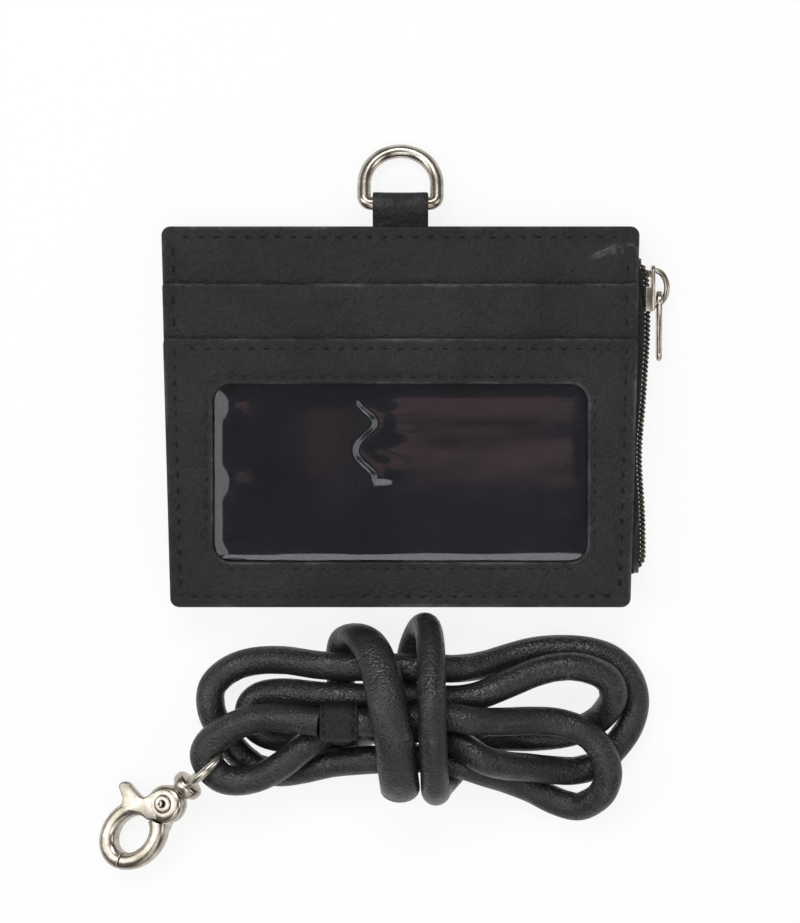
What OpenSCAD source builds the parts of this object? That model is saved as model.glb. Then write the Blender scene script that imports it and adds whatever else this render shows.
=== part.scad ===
// Badge wallet with a zip pouch, a window pocket and a leather lanyard tied up in a hank.
// Millimetres. It lies on its back: +Z is up through the front, +Y runs to the top edge.

/* [Wallet] */
// Width along the top edge
top_w = 105; // [98:0.5:112]
// Width along the bottom edge
bottom_w = 101; // [96:0.5:108]
// Height from the bottom edge to the top edge
wallet_h = 83.5; // [81:0.5:90]
// Radius of the outer corners
corner_r = 2; // [1.5:0.5:5]
// Height that the middle pocket stops short of the top edge
card_drop = 12.5; // [10:0.5:15]
// Height that the window pocket stops short of the top edge
window_drop = 24.5; // [18:0.5:26]

/* [Leather] */
// Thickness of the back panel
back_t = 1.1; // [0.9:0.1:1.6]
// Thickness of the front walls and pockets
leather_t = 1; // [0.8:0.1:1.2]
// Space left for a card in each pocket
card_gap = 0.6; // [0.5:0.1:1.2]
// Thickness of the cloth lining
lining_t = 0.25; // [0.2:0.05:0.4]
// Depth of the zip pouch at its rim
pouch_depth = 4.9; // [4.7:0.1:6]
// Width of the sewn rim
rim_w = 4; // [4:0.5:6]
// Distance in which the back panel slopes from its rim to its flat face
slope_w = 5; // [4.5:0.5:5]
// Thread thickness
thread_d = 0.5; // [0.4:0.05:0.7]
// Stitch pitch
stitch_pitch = 3.3; // [2.6:0.1:4.5]
// Distance of the stitching from the edge
stitch_inset = 2.4; // [2:0.1:3]

/* [Window] */
// Width of the leather on each side of the cut-out, at the bottom edge
window_side = 9.5; // [7.5:0.5:15]
// Height of the cut-out
window_h = 39; // [30:0.5:42]
// Corner radius of the cut-out
window_r = 4; // [2:0.5:8]
// Height of the cut-out's lower edge above the bottom edge
window_rise = 10; // [8.5:0.5:11]
// Thickness of the clear film
film_t = 0.3; // [0.2:0.05:0.5]

/* [Ring and tab] */
// Width of the tab
tab_w = 12.2; // [9:0.1:12.6]
// Height of the tab above the top edge
tab_rise = 7.5; // [7:0.1:9]
// Inner width of the ring
ring_inner_w = 13; // [13:0.5:16]
// Height of the ring inside
ring_inner_h = 9.7; // [8.5:0.1:14]
// Thickness of the ring's wire
ring_wire = 3; // [2.6:0.1:3.2]

/* [Zip] */
// Distance from the top and bottom edges to the chain's ends
chain_end = 9.25; // [9.25:0.25:14]
// Diameter of one coil
coil_d = 1.2; // [1:0.1:1.2]
// Width of the slider
slider_w = 6; // [5:0.1:6.2]
// Length of the slider's outer plate
slider_l = 9.8; // [8:0.2:12]
// Length of the pull tab
pull_l = 15.5; // [12:0.5:22]

/* [Lanyard] */
// Diameter of the leather cord
cord_d = 6.2; // [5:0.1:6.2]
// Length of the sleeve that binds the cord ends
keeper_l = 8.4; // [7:0.1:9]

/* [Clasp] */
// Thickness of the clasp's body
clasp_t = 4.4; // [4:0.1:4.8]
// Diameter of the pin of the gate
pin_d = 2.4; // [2:0.1:2.8]
// Wire of the swivel eye
eye_wire = 1.9; // [1.6:0.1:2.2]

/* [Hidden] */

$fn = 48;
black_leather = [0.13, 0.13, 0.14];
dark_cloth = [0.08, 0.08, 0.09];
nickel = [0.78, 0.76, 0.72];
bronze = [0.45, 0.4, 0.33];
overrun = 1;
gap = 0.3;
corner_steps = 8;

// Heights of the layers, from the floor up
rim_z = pouch_depth + back_t;
front_z = rim_z + leather_t;
card_z = front_z + leather_t + lining_t + card_gap;
film_z = card_z + leather_t + card_gap;
window_z = film_z + film_t;
top_z = window_z + leather_t;
half_h = wallet_h / 2;
window_w = bottom_w - 2 * window_side;
chain_l = wallet_h - 2 * chain_end;
edge_slope = (top_w - bottom_w) / 2 / wallet_h;

// Half width of the wallet at a height along Y
function half_w(y) = bottom_w / 2 + (y + half_h) * edge_slope;

// Points of an arc
function arc(c, r, a0, a1, n) = [for (i = [0 : n])
    let (a = a0 + (a1 - a0) * i / n) [c.x + r * cos(a), c.y + r * sin(a)]];

// Outline between two heights, with a radius at each corner: lower left, lower right, upper right, upper left
function panel_outline(y0, y1, radii, inset = 0, right_inset = 0) = let (
    lo = y0 + inset, hi = y1 - inset,
    l = function (y, r) -half_w(y) + inset + r,
    rt = function (y, r) half_w(y) - right_inset - r)
    concat(
        arc([l(lo + radii[0], radii[0]), lo + radii[0]], radii[0], 180, 270, corner_steps),
        arc([rt(lo + radii[1], radii[1]), lo + radii[1]], radii[1], 270, 360, corner_steps),
        arc([rt(hi - radii[2], radii[2]), hi - radii[2]], radii[2], 0, 90, corner_steps),
        arc([l(hi - radii[3], radii[3]), hi - radii[3]], radii[3], 90, 180, corner_steps));

module panel(z, t, y0, y1, radii, inset = 0, right_inset = 0) {
    translate([0, 0, z])
        linear_extrude(t)
            polygon(panel_outline(y0, y1, radii, inset, right_inset));
}

// Back panel: a dished sheet with a flat rim on three sides and an open right side
dish_steps = 5;
function dish_inset(k) = k == 0 ? 0 : rim_w + slope_w * (k - 1) / (dish_steps - 1);
function dish_z(k) = k == 0 ? pouch_depth : pouch_depth * (1 + cos(180 * (k - 1) / (dish_steps - 1))) / 2;
function dish_line(k) = let (d = dish_inset(k), r = corner_r + d / 2, hi = half_h - d, lo = -half_h + d)
    [for (p = concat(
        [[half_w(hi), hi]],
        arc([-half_w(hi) + d + r, hi - r], r, 90, 180, corner_steps),
        arc([-half_w(lo) + d + r, lo + r], r, 180, 270, corner_steps),
        [[half_w(lo), lo]])) [p.x, p.y, dish_z(k)]];
dish_n = 2 * (corner_steps + 1) + 2;

module back_panel() {
    lower = [for (k = [0 : dish_steps]) for (p = dish_line(k)) p];
    upper = [for (p = lower) [p.x, p.y, p.z + back_t]];
    m = len(lower);
    last = dish_steps * dish_n;
    color(black_leather)
        polyhedron(concat(lower, upper), concat(
            [for (k = [0 : dish_steps - 1], i = [0 : dish_n - 2], h = [0, 1])
                let (a = k * dish_n + i, b = a + dish_n)
                h == 0 ? [a, a + 1, b + 1] : [a, b + 1, b]],
            [for (k = [0 : dish_steps - 1], i = [0 : dish_n - 2], h = [0, 1])
                let (a = m + k * dish_n + i, b = a + dish_n)
                h == 0 ? [a, b + 1, a + 1] : [a, b, b + 1]],
            [for (i = [0 : dish_n - 2]) [i, m + i, m + i + 1, i + 1]],
            [for (k = [0 : dish_steps - 1]) let (a = k * dish_n) [a, a + dish_n, m + a + dish_n, m + a]],
            [for (k = [0 : dish_steps - 1]) let (a = (k + 1) * dish_n - 1)
                [a, m + a, m + a + dish_n, a + dish_n]],
            [[last, last + dish_n - 1, m + last + dish_n - 1, m + last]],
            [[for (i = [0 : dish_n - 1]) last + i]],
            [[for (i = [dish_n - 1 : -1 : 0]) m + last + i]]), convexity = 6);
}

module pouch_lining() {
    d = rim_w + slope_w + overrun;
    color(dark_cloth)
        translate([0, 0, back_t])
            linear_extrude(lining_t)
                intersection() {
                    polygon(panel_outline(-half_h, half_h, [corner_r, corner_r, corner_r, corner_r], d, d));
                    translate([-top_w, -half_h])
                        square([top_w + tape_in - gap, wallet_h]);
                }
}

// The pouch's front reaches a little past the right edge, over the zip
zip_flap = 1.4;
flap_steps = 24;
flap_ends = 6;
function flap_reach(s) = zip_flap * min(1, flap_ends * s, flap_ends * (1 - s));

module pouch_front() {
    color(black_leather)
        difference() {
            translate([0, 0, rim_z])
                linear_extrude(leather_t)
                    union() {
                        polygon(panel_outline(-half_h, half_h, [corner_r, corner_r, corner_r, corner_r]));
                        polygon(concat([[0, -chain_l / 2]],
                            [for (i = [1 : flap_steps - 1]) let (y = -chain_l / 2 + chain_l * i / flap_steps)
                                [half_w(y) + flap_reach(i / flap_steps), y]],
                            [[0, chain_l / 2]]));
                    }
            translate([-tab_w / 2 - gap / 2, half_h - tab_depth - gap / 2, rim_z - overrun])
                cube([tab_w + gap, tab_depth + gap / 2 + overrun, leather_t + 2 * overrun]);
        }
}

module front_wall() {
    color(black_leather)
        panel(front_z, leather_t, -half_h, half_h, [corner_r, corner_r, corner_r, corner_r]);
    color(dark_cloth)
        panel(front_z + leather_t, lining_t, -half_h, half_h - card_drop / 2,
            [corner_r, corner_r, corner_r, corner_r], rim_w, rim_w);
}

// A pocket is a front sheet on a thin spacer rim that leaves room for the card
module pocket(z, t, drop, below) {
    y1 = half_h - drop;
    panel(z, t, -half_h, y1, [corner_r, corner_r, corner_r, corner_r]);
    difference() {
        panel(below, z - below, -half_h, y1, [corner_r, corner_r, corner_r, corner_r]);
        translate([0, 0, below - overrun])
            linear_extrude(z - below + 2 * overrun)
                polygon(concat(
                    arc([-half_w(-half_h) + rim_w + window_r, -half_h + rim_w + window_r], window_r, 180, 270,
                        corner_steps),
                    arc([half_w(-half_h) - rim_w - window_r, -half_h + rim_w + window_r], window_r, 270, 360,
                        corner_steps),
                    [[half_w(y1) - rim_w, y1 + overrun], [-half_w(y1) + rim_w, y1 + overrun]]));
    }
}

module card_pocket() {
    color(black_leather)
        pocket(card_z, leather_t, card_drop, front_z + leather_t);
}

window_y = -half_h + window_rise + window_h / 2;

module window_hole(z, t, grow) {
    translate([0, window_y, z])
        linear_extrude(t)
            polygon(let (r = window_r + grow, x = window_w / 2 + grow - r, y = window_h / 2 + grow - r)
                concat(
                arc([-x, -y], r, 180, 270, corner_steps), arc([x, -y], r, 270, 360, corner_steps),
                arc([x, y], r, 0, 90, corner_steps), arc([-x, y], r, 90, 180, corner_steps)));
}

module window_pocket() {
    color(black_leather)
        difference() {
            pocket(window_z, leather_t, window_drop, card_z + leather_t);
            window_hole(window_z - overrun, leather_t + 2 * overrun, 0);
        }
}

film_lap = 2.6;

module window_film() {
    color([0.75, 0.78, 0.8, 0.35])
        window_hole(film_z, film_t, film_lap);
}

// Ring tab: a strip folded round the ring's bar, with both ends sewn into the top edge
tab_depth = 7;
tab_ply = 0.9;
bar_clearance = 0.06;
tab_z = rim_z + leather_t / 2;
fold_r = ring_wire / 2 + bar_clearance + tab_ply;
bar_y = half_h + tab_rise - fold_r;
skived_t = leather_t / 2;

module ring_tab() {
    color(black_leather)
        translate([-tab_w / 2, bar_y, tab_z])
            rotate([90, 0, 90])
                linear_extrude(tab_w)
                    difference() {
                        union() {
                            circle(fold_r);
                            polygon([[half_h - tab_depth - bar_y, -skived_t], [half_h - bar_y, -skived_t],
                                [-fold_r / 2, -fold_r * cos(30)], [0, 0], [-fold_r / 2, fold_r * cos(30)],
                                [half_h - bar_y, skived_t], [half_h - tab_depth - bar_y, skived_t]]);
                        }
                        circle(ring_wire / 2 + bar_clearance);
                    }
}

// D ring: its far end rests on the floor
ring_corner_r = 1.7;
ring_r = (ring_inner_w + ring_wire) / 2;
ring_l = ring_inner_h + ring_wire;
ring_tilt = asin((tab_z - ring_wire / 2) / ring_l);

module wire_arc(r, wire, a0, a1) {
    rotate([0, 0, a0])
        rotate_extrude(angle = a1 - a0)
            translate([r, 0])
                circle(wire / 2);
}

module d_ring() {
    side = ring_l - ring_r - ring_corner_r;
    color(nickel)
        translate([0, bar_y, tab_z])
            rotate([-ring_tilt, 0, 0]) {
                translate([-(ring_r - ring_corner_r), 0, 0])
                    rotate([0, 90, 0])
                        cylinder(d = ring_wire, h = 2 * (ring_r - ring_corner_r));
                for (s = [0, 1])
                    mirror([s, 0, 0]) {
                        translate([ring_r - ring_corner_r, ring_corner_r, 0])
                            wire_arc(ring_corner_r, ring_wire, 270, 360);
                        translate([ring_r, ring_corner_r, 0])
                            rotate([-90, 0, 0])
                                cylinder(d = ring_wire, h = side);
                    }
                translate([0, ring_l - ring_r, 0])
                    wire_arc(ring_r, ring_wire, 0, 180);
            }
}

// Stitches: short bars that lie on the leather along straight runs
stitch_share = 0.7;
module stitch_run(a, b, z, pitch) {
    l = norm(b - a);
    count = floor(l / pitch);
    turn = atan2(b.y - a.y, b.x - a.x);
    for (i = [0 : count - 1])
        translate([a.x, a.y, z])
            rotate([0, 0, turn])
                translate([(i + 0.5) * l / count, 0, 0])
                    stitch(pitch * stitch_share);
}

module stitch(l) {
    rotate([90, 0, 90])
        translate([0, 0, -l / 2])
            linear_extrude(l)
                polygon([[-thread_d / 2, 0], [thread_d / 2, 0], [thread_d / 4, thread_d / 2],
                    [-thread_d / 4, thread_d / 2]]);
}

seam_end = 1.2;
module perimeter_stitching() {
    i = stitch_inset;
    y_lo = -half_h + i;
    y_window = half_h - window_drop;
    y_card = half_h - card_drop;
    y_top = half_h - i;
    color(dark_cloth) {
        stitch_run([-half_w(y_lo) + i + seam_end, y_lo], [half_w(y_lo) - i - seam_end, y_lo], top_z,
            stitch_pitch);
        for (s = [-1, 1]) {
            stitch_run([s * (half_w(y_lo) - i), y_lo + seam_end],
                [s * (half_w(y_window) - i), y_window - seam_end], top_z, stitch_pitch);
            stitch_run([s * (half_w(y_window) - i), y_window + seam_end],
                [s * (half_w(y_card) - i), y_card - seam_end], card_z + leather_t, stitch_pitch);
            stitch_run([s * (half_w(y_card) - i), y_card + seam_end],
                [s * (half_w(y_top) - i), y_top - seam_end], front_z + leather_t, stitch_pitch);
        }
        stitch_run([-half_w(y_top) + i + seam_end, y_top], [half_w(y_top) - i - seam_end, y_top],
            front_z + leather_t, stitch_pitch);
    }
}

window_seam = 1.5;
module window_stitching() {
    x = window_w / 2 + window_seam;
    y = window_h / 2 + window_seam;
    r = window_r;
    color(dark_cloth)
        for (s = [-1, 1]) {
            stitch_run([-x + r, window_y + s * y], [x - r, window_y + s * y], top_z, stitch_pitch);
            stitch_run([s * x, window_y - y + r], [s * x, window_y + y - r], top_z, stitch_pitch);
        }
}

edge_seam = 2.3;
module pocket_edge_stitching() {
    y = half_h - window_drop - edge_seam;
    x = half_w(y) - 2 * stitch_inset;
    color(dark_cloth)
        stitch_run([-x, y], [x, y], top_z, stitch_pitch);
}

// Zip: the chain stands a little beyond the right edge, midway between the two leathers
zip_stand = 1.52;
zip_x = half_w(chain_l / 2) + zip_stand;
zip_z = (back_t + rim_z) / 2;
tape_t = 0.3;
tape_reach = 8;
tape_turn_share = 1.5;
tape_in = half_w(0) - tape_reach;
coil_gap = 0.1;
coil_z = (coil_d + coil_gap) / 2;
coil_rings = 26;

// Points of a smooth curve through a list of points
function curve_at(p, t) = let (n = len(p) - 1, i = min(floor(t), n - 1), u = t - i,
    a = p[max(i - 1, 0)], b = p[i], c = p[i + 1], d = p[min(i + 2, n)])
    (2 * b + (c - a) * u + (2 * a - 5 * b + 4 * c - d) * u * u + (3 * b - a - 3 * c + d) * u * u * u) / 2;
function curve(p, n) = [for (i = [0 : n - 1]) curve_at(p, (len(p) - 1) * i / (n - 1))];
function unit(v) = v / norm(v);
function headings(p, first, last) = [for (i = [0 : len(p) - 1])
    i == 0 ? unit(first) : i == len(p) - 1 ? unit(last) : unit(p[i + 1] - p[i - 1])];
function carried(d, i, v, out) = i == len(d) ? out :
    let (w = unit(v - (v * d[i]) * d[i])) carried(d, i + 1, w, concat(out, [w]));

// Tube along a list of points, with flat ends square to the given directions
module tube(p, r, sides, first, last, side_way) {
    d = headings(p, first, last);
    side_dirs = carried(d, 0, side_way, []);
    n = len(p);
    color(black_leather)
        polyhedron(
            [for (i = [0 : n - 1], k = [0 : sides - 1]) let (a = 360 * k / sides)
                p[i] + r * (cos(a) * side_dirs[i] + sin(a) * cross(d[i], side_dirs[i]))],
            concat(
                [for (i = [0 : n - 2], k = [0 : sides - 1], h = [0, 1])
                    let (a = i * sides + k, b = i * sides + (k + 1) % sides)
                    h == 0 ? [a, a + sides, b + sides] : [a, b + sides, b]],
                [[for (k = [0 : sides - 1]) k]],
                [[for (k = [sides - 1 : -1 : 0]) (n - 1) * sides + k]]), convexity = 10);
}

part_z = 0.7;
part_share = 1.4;
function coil_line(s) = [
    [zip_x, chain_l / 2, zip_z + s * (coil_z + part_z)],
    [zip_x, chain_l / 2 - slider_l, zip_z + s * (coil_z + part_z / 2)],
    [zip_x, chain_l / 2 - part_share * slider_l, zip_z + s * coil_z],
    [zip_x, 0, zip_z + s * coil_z],
    [zip_x, -chain_l / 2, zip_z + s * coil_z]];

module zip_coil(s) {
    color(bronze)
        tube(curve(coil_line(s), coil_rings), coil_d / 2, 8, [0, -1, 0], [0, -1, 0], [1, 0, 0]);
}

module zip_coil_front() { zip_coil(1); }
module zip_coil_back() { zip_coil(-1); }

module zip_tape(s) {
    outer = pouch_depth / 2;
    near = coil_z + coil_d / 2 + part_z;
    color(dark_cloth)
        translate([0, chain_l / 2, zip_z])
            mirror([0, 0, s > 0 ? 0 : 1])
                rotate([90, 0, 0])
                    linear_extrude(chain_l)
                        polygon([[tape_in, outer], [tape_in, outer - tape_t],
                            [half_w(0) - tape_turn_share * tape_t, outer - tape_t],
                            [zip_x - coil_d / 2, near], [zip_x + coil_d / 4, near],
                            [zip_x + coil_d / 4, near + tape_t / 2], [zip_x - coil_d / 2, near + tape_t],
                            [half_w(0), outer]]);
}

module zip_tape_front() { zip_tape(1); }
module zip_tape_back() { zip_tape(-1); }

stop_l = 2;
stop_wall = 0.4;
module zip_stop(y, spread) {
    h = 2 * (coil_z + coil_d / 2 + spread + stop_wall);
    translate([zip_x - coil_d / 2 - stop_wall, y, zip_z - h / 2])
        cube([coil_d + 2 * stop_wall, stop_l, h]);
}

module zip_top_stop() {
    color(bronze)
        zip_stop(chain_l / 2, part_z - stop_wall);
}

module zip_bottom_stop() {
    color(bronze)
        zip_stop(-chain_l / 2 - stop_l, -stop_wall);
}

// Slider: an outer plate with a bail, a narrow inner plate, a wedge post between them and two lips
over_share = 0.6;
slider_top = chain_l / 2 + over_share * coil_d;
slider_plate_t = 0.7;
slider_clear = 1;
slider_out_x = zip_x + coil_d / 2 + slider_clear;
slider_in_x = zip_x - coil_d / 2 - slider_clear;
inner_l_share = 0.85;
nose_half_share = 0.75;
head_half_share = 0.7;
wide_from_share = 0.1;
wide_to_share = 0.4;
post_from_share = 1.6;
lip_t = 0.6;
post_w = 1;
post_l = 1.6;

module slider_plate(x, half, l, top) {
    nose = half * nose_half_share;
    head = half * head_half_share;
    wide_from = top - wide_from_share * l;
    wide_to = top - wide_to_share * l;
    translate([x, 0, zip_z])
        rotate([90, 0, 90])
            linear_extrude(slider_plate_t)
                polygon([[top - l, -nose], [wide_to, -half], [wide_from, -half], [top, -head],
                    [top, head], [wide_from, half], [wide_to, half], [top - l, nose]]);
}

module slider_body() {
    half = slider_w / 2;
    color(nickel) {
        slider_plate(slider_out_x, half, slider_l, slider_top);
        slider_plate(slider_in_x - slider_plate_t, half / 2, inner_l_share * slider_l,
            slider_top - over_share * coil_d);
        translate([slider_in_x, slider_top - post_from_share * post_l, zip_z - post_w / 2])
            cube([slider_out_x - slider_in_x, post_l, post_w]);
        for (s = [-1, 1])
            translate([zip_x + coil_d / 4, slider_top - slider_l, zip_z + s * (half - lip_t / 2) - lip_t / 2])
                cube([slider_out_x - zip_x - coil_d / 4, slider_l / 2, lip_t]);
    }
}

bail_wire = 1.3;
bail_r = 3.2;
bail_x = slider_out_x + slider_plate_t;
bail_y = slider_top - slider_l / 2;

module slider_bail() {
    color(nickel)
        translate([bail_x, bail_y, zip_z])
            wire_arc(bail_r, bail_wire, -90, 90);
}

pull_t = 1.2;
pull_rest = -68;
pull_hole_r = 1.4;
pull_ring_r = 2.3;
pull_w = 3.6;
pull_neck_share = 0.8;

module pull_tab() {
    tip = pull_ring_r - pull_l;
    color(nickel)
        translate([bail_x + bail_r * cos(pull_rest) - pull_t / 2, bail_y + bail_r * sin(pull_rest), zip_z])
            rotate([90, 0, 90])
                difference() {
                    union() {
                        cylinder(r = pull_ring_r, h = pull_t);
                        linear_extrude(pull_t)
                            polygon([[0, -pull_neck_share * pull_ring_r], [-pull_l / 3, -pull_w / 2],
                                [tip + pull_w / 3, -pull_w / 2], [tip, -pull_w / 4], [tip, pull_w / 4],
                                [tip + pull_w / 3, pull_w / 2], [-pull_l / 3, pull_w / 2],
                                [0, pull_neck_share * pull_ring_r]]);
                    }
                    translate([0, 0, -overrun])
                        cylinder(r = pull_hole_r, h = pull_t + 2 * overrun);
                }
}

// Route of the neck cord: out of the sleeve, back and forth as a hank, then twice round its waist
neck_route = [
    [-9.2, -66.5, 16.5], [-3, -66.5, 16.5], [4, -65.4, 17], [10, -65, 18], [16, -66, 18.2],
    [22, -66.6, 14.6], [29, -66.8, 11.4], [35, -67.4, 10.2], [40, -69.2, 10.2], [44, -73, 10.2],
    [45.8, -78.5, 10], [44.4, -83.6, 8], [40, -86.8, 5], [35, -86, 3.4], [29, -83.1, 3.4],
    [24, -80.9, 5], [19, -78.8, 8.2], [14, -76.9, 10.1], [8, -75.5, 10.2], [0, -75.4, 10.2],
    [-6, -75.6, 10.2], [-10, -75.9, 10], [-15, -76.6, 8.6], [-21, -78.2, 6.8], [-27, -79.4, 4.2],
    [-32, -78.4, 3.3], [-36, -75.3, 3.3], [-39.2, -71.2, 3.3], [-42, -66, 3.3], [-42, -60.6, 3.3],
    [-38.5, -56.8, 3.3], [-33, -54.6, 3.6], [-26, -54, 6], [-18, -54.7, 9.4], [-10, -55, 10.2],
    [-3, -55.1, 10.2], [5, -55.1, 10.2], [12, -55.5, 9.4], [18, -55.2, 6.4], [24, -53.6, 4.4],
    [30, -52.2, 3.5], [36, -51.8, 3.3], [42, -52.3, 3.3], [47, -54.2, 3.3], [50.8, -58.2, 3.3],
    [52.2, -63.5, 3.3], [51, -69, 3.3], [47.6, -74, 3.3], [43.4, -77.8, 3.3], [38.5, -79, 4],
    [33, -78.4, 6.4], [28, -77.4, 9.8], [23, -76.4, 13.6], [18, -74.6, 16.4], [13.5, -71.8, 15],
    [9, -69.2, 12.6], [4, -68.6, 10.8], [-1, -68.6, 10.2], [-5, -68.9, 8.2], [-8.5, -70.6, 4.2],
    [-12.5, -71.9, 3.3], [-18, -72.2, 3.3], [-25, -72, 3.3], [-30, -70.9, 3.3], [-33.1, -68.3, 3.3],
    [-33.6, -65, 3.3], [-31.4, -62.4, 3.6], [-26, -61.2, 6], [-18, -61.5, 9.4], [-10, -61.8, 10.1],
    [-3, -61.8, 10.2], [5, -61.8, 10.2], [11, -62.2, 10.9], [17, -61.3, 11.3], [24, -58.6, 11],
    [30, -56.2, 10.2], [36, -55, 10], [41.5, -55.6, 9.8], [45.8, -58, 9.3], [47, -62, 8.4],
    [45, -66.4, 5], [41, -69.4, 3.4], [35.5, -71, 3.3], [29, -71.6, 3.3], [23, -71.6, 3.3],
    [18, -72.6, 3.3], [14.4, -75.6, 3.3], [11.4, -79.4, 3.4], [8.8, -82, 5.6], [7.9, -82.6, 10.4],
    [7.6, -80.8, 16], [7.3, -75.6, 20.8], [7, -69.5, 24], [6.8, -63, 24.4], [6.7, -56.5, 21.4],
    [6.6, -50, 16.4], [5.9, -46.4, 10.8], [4.4, -47.4, 5.6], [2.6, -52, 3.5], [1.4, -60, 3.3],
    [0.8, -69, 3.3], [0.2, -77, 3.4], [-0.1, -81.8, 5.8], [-0.1, -82.4, 10.6], [-0.2, -80.2, 16.2],
    [-0.8, -74.5, 20.8], [-1.6, -68, 23.4], [-2.8, -61.4, 22.8], [-4.3, -55.4, 19.6],
    [-6.4, -50.2, 15.6], [-9, -48.2, 10.6], [-11.6, -49.2, 5.8], [-13, -52.8, 3.5], [-13.2, -57, 3.3],
    [-13.2, -65.3, 3.3]];
hanger_route = [
    [-17.6, -66.5, 16.5], [-24, -65.8, 15.2], [-31, -66, 12.6], [-37.5, -67.7, 10.8], [-42.2, -70.3, 9.9],
    [-44.4, -74.2, 9.5], [-43.2, -78, 9.4], [-39.8, -80.7, 9.5], [-35.5, -80.8, 10.2], [-30, -78.9, 11.2],
    [-25, -75.7, 12.3], [-21, -72.6, 11.7], [-16.5, -69.7, 10.2]];

neck_loops = 8;
rings_a_loop = 24;
neck_sides = 6;
hanger_rings = 30;
hanger_turn = 40;
last_neck = len(neck_route) - 1;

module neck_cord() {
    tube(curve(neck_route, neck_loops * rings_a_loop), cord_d / 2, neck_sides,
        neck_route[1] - neck_route[0], neck_route[last_neck] - neck_route[last_neck - 1], [0, 0, 1]);
}

// The least gap between two turns of the neck cord, measured on points along it
gap_points = 460;
module print_least_gap() {
    p = curve(neck_route, gap_points);
    step = 17;
    least = min([for (i = [0 : gap_points - 1 - step])
        min([for (j = [i + step : gap_points - 1]) norm(p[i] - p[j])])]);
    echo("least gap of the neck cord to itself, mm", least - cord_d);
}

module hanger_loop() {
    tube(curve(hanger_route, hanger_rings), cord_d / 2, 8, [-1, 0, 0], [cos(hanger_turn), sin(hanger_turn), 0],
        [0, 0, 1]);
}

// Sleeve that binds the four cord ends: three levels, from the lowest end up
keeper_wall = 1.05;
keeper_foot_share = 0.4;
keeper_pitch_share = 0.6;
keeper_seam = 0.8;
keeper_end = neck_route[0];
keeper_low = neck_route[last_neck];
hanger_end = hanger_route[len(hanger_route) - 1];

module cord_keeper() {
    half = cord_d / 2 + keeper_wall;
    level_top = keeper_end.z + cord_d / 2;
    level_mid = keeper_end.z - cord_d / 2;
    level_low = hanger_end.z - cord_d / 2 - gap / 2;
    l = keeper_l;
    low_w = cord_d + keeper_wall / 2;
    side = [-sin(hanger_turn), cos(hanger_turn)];
    face = [hanger_end.x, hanger_end.y];
    a = face + (half - keeper_wall / 2) * side;
    b = face - (half - keeper_wall) * side;
    color(black_leather) {
        translate([keeper_end.x - l, keeper_end.y - half, level_mid])
            cube([l, 2 * half, level_top - level_mid]);
        translate([0, 0, level_low])
            linear_extrude(level_mid - level_low)
                polygon([a, b, [keeper_end.x - l / 4, b.y], [keeper_end.x, keeper_end.y - half + keeper_wall],
                    [keeper_end.x, keeper_low.y], [keeper_end.x - l, keeper_low.y]]);
        translate([keeper_low.x - low_w / 2 + keeper_wall / 4, keeper_low.y - keeper_foot_share * cord_d, gap])
            cube([low_w - keeper_wall / 2, keeper_foot_share * cord_d, level_low - gap]);
    }
}

module keeper_stitching() {
    y = keeper_end.y;
    z = keeper_end.z + cord_d / 2;
    color(dark_cloth)
        for (x = [keeper_end.x - keeper_seam, keeper_end.x - keeper_l + keeper_seam])
            stitch_run([x, y - cord_d / 2], [x, y + cord_d / 2], z,
                keeper_pitch_share * stitch_pitch);
}

// Clasp: its long axis runs from the pivot to the eye. It lies tilted and rolled on the tip of its lever
clasp_at = [-51.7, -86, 6.8];
clasp_heading = 223.3;
clasp_tilt = 12;
clasp_roll = 22;
head_r = 4.2;
ring_at = 10.6;
ring_out = [8.5, 6.7];
ring_in = [4.6, 3.3];
half_split = 0.12;
split_a = [4.2, -0.8];
split_b = [20, 3.6];
pin_clear = 0.04;
rivet_r = 2;
rivet_t = 0.5;
rivet_bore_r = 0.8;
stem_r = 2.3;
stem_x = -4.9;
swivel_pin_r = 1.1;
swivel_bore = 1.9;
spring_r = 2.2;
spring_wire = 0.6;
spring_pocket = 0.5;
spring_half_share = 1.6;

module on_axis() {
    translate(clasp_at)
        rotate([0, 0, clasp_heading])
            rotate([0, clasp_tilt, 0])
                children();
}

module on_clasp() {
    on_axis()
        rotate([clasp_roll, 0, 0])
            children();
}

function oval(c, r, n) = [for (i = [0 : n - 1]) [c + r.x * cos(360 * i / n), r.y * sin(360 * i / n)]];

module jaw_outline() {
    difference() {
        polygon(oval(ring_at, ring_out, 48));
        polygon(oval(ring_at, ring_in, 36));
    }
}

// The half plane on one side of the split between the two jaws
module beyond_split(s) {
    d = unit(split_b - split_a);
    n = s * [-d.y, d.x];
    a = split_a + half_split * n;
    far = 3 * ring_out.x;
    polygon([a - far * d, a + far * d, a + far * d + far * n, a - far * d + far * n]);
}

module spring_groove() {
    h = 2 * spring_half_share * spring_pocket;
    translate([0, 0, -h / 2])
        difference() {
            cylinder(r = spring_r + spring_pocket, h = h);
            translate([0, 0, -overrun])
                cylinder(r = spring_r - spring_pocket, h = h + 2 * overrun);
        }
}

// Room in the gate for the swivel's pin, over the gate's whole swing
relief_in = 3;
relief_turn = 116;
module swivel_relief() {
    reach = swivel_pin_r + pin_clear + gap / 2;
    rotate([0, 0, 180 - relief_turn / 2])
        rotate_extrude(angle = relief_turn)
            translate([relief_in, -reach])
                square([head_r, 2 * reach]);
}

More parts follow.
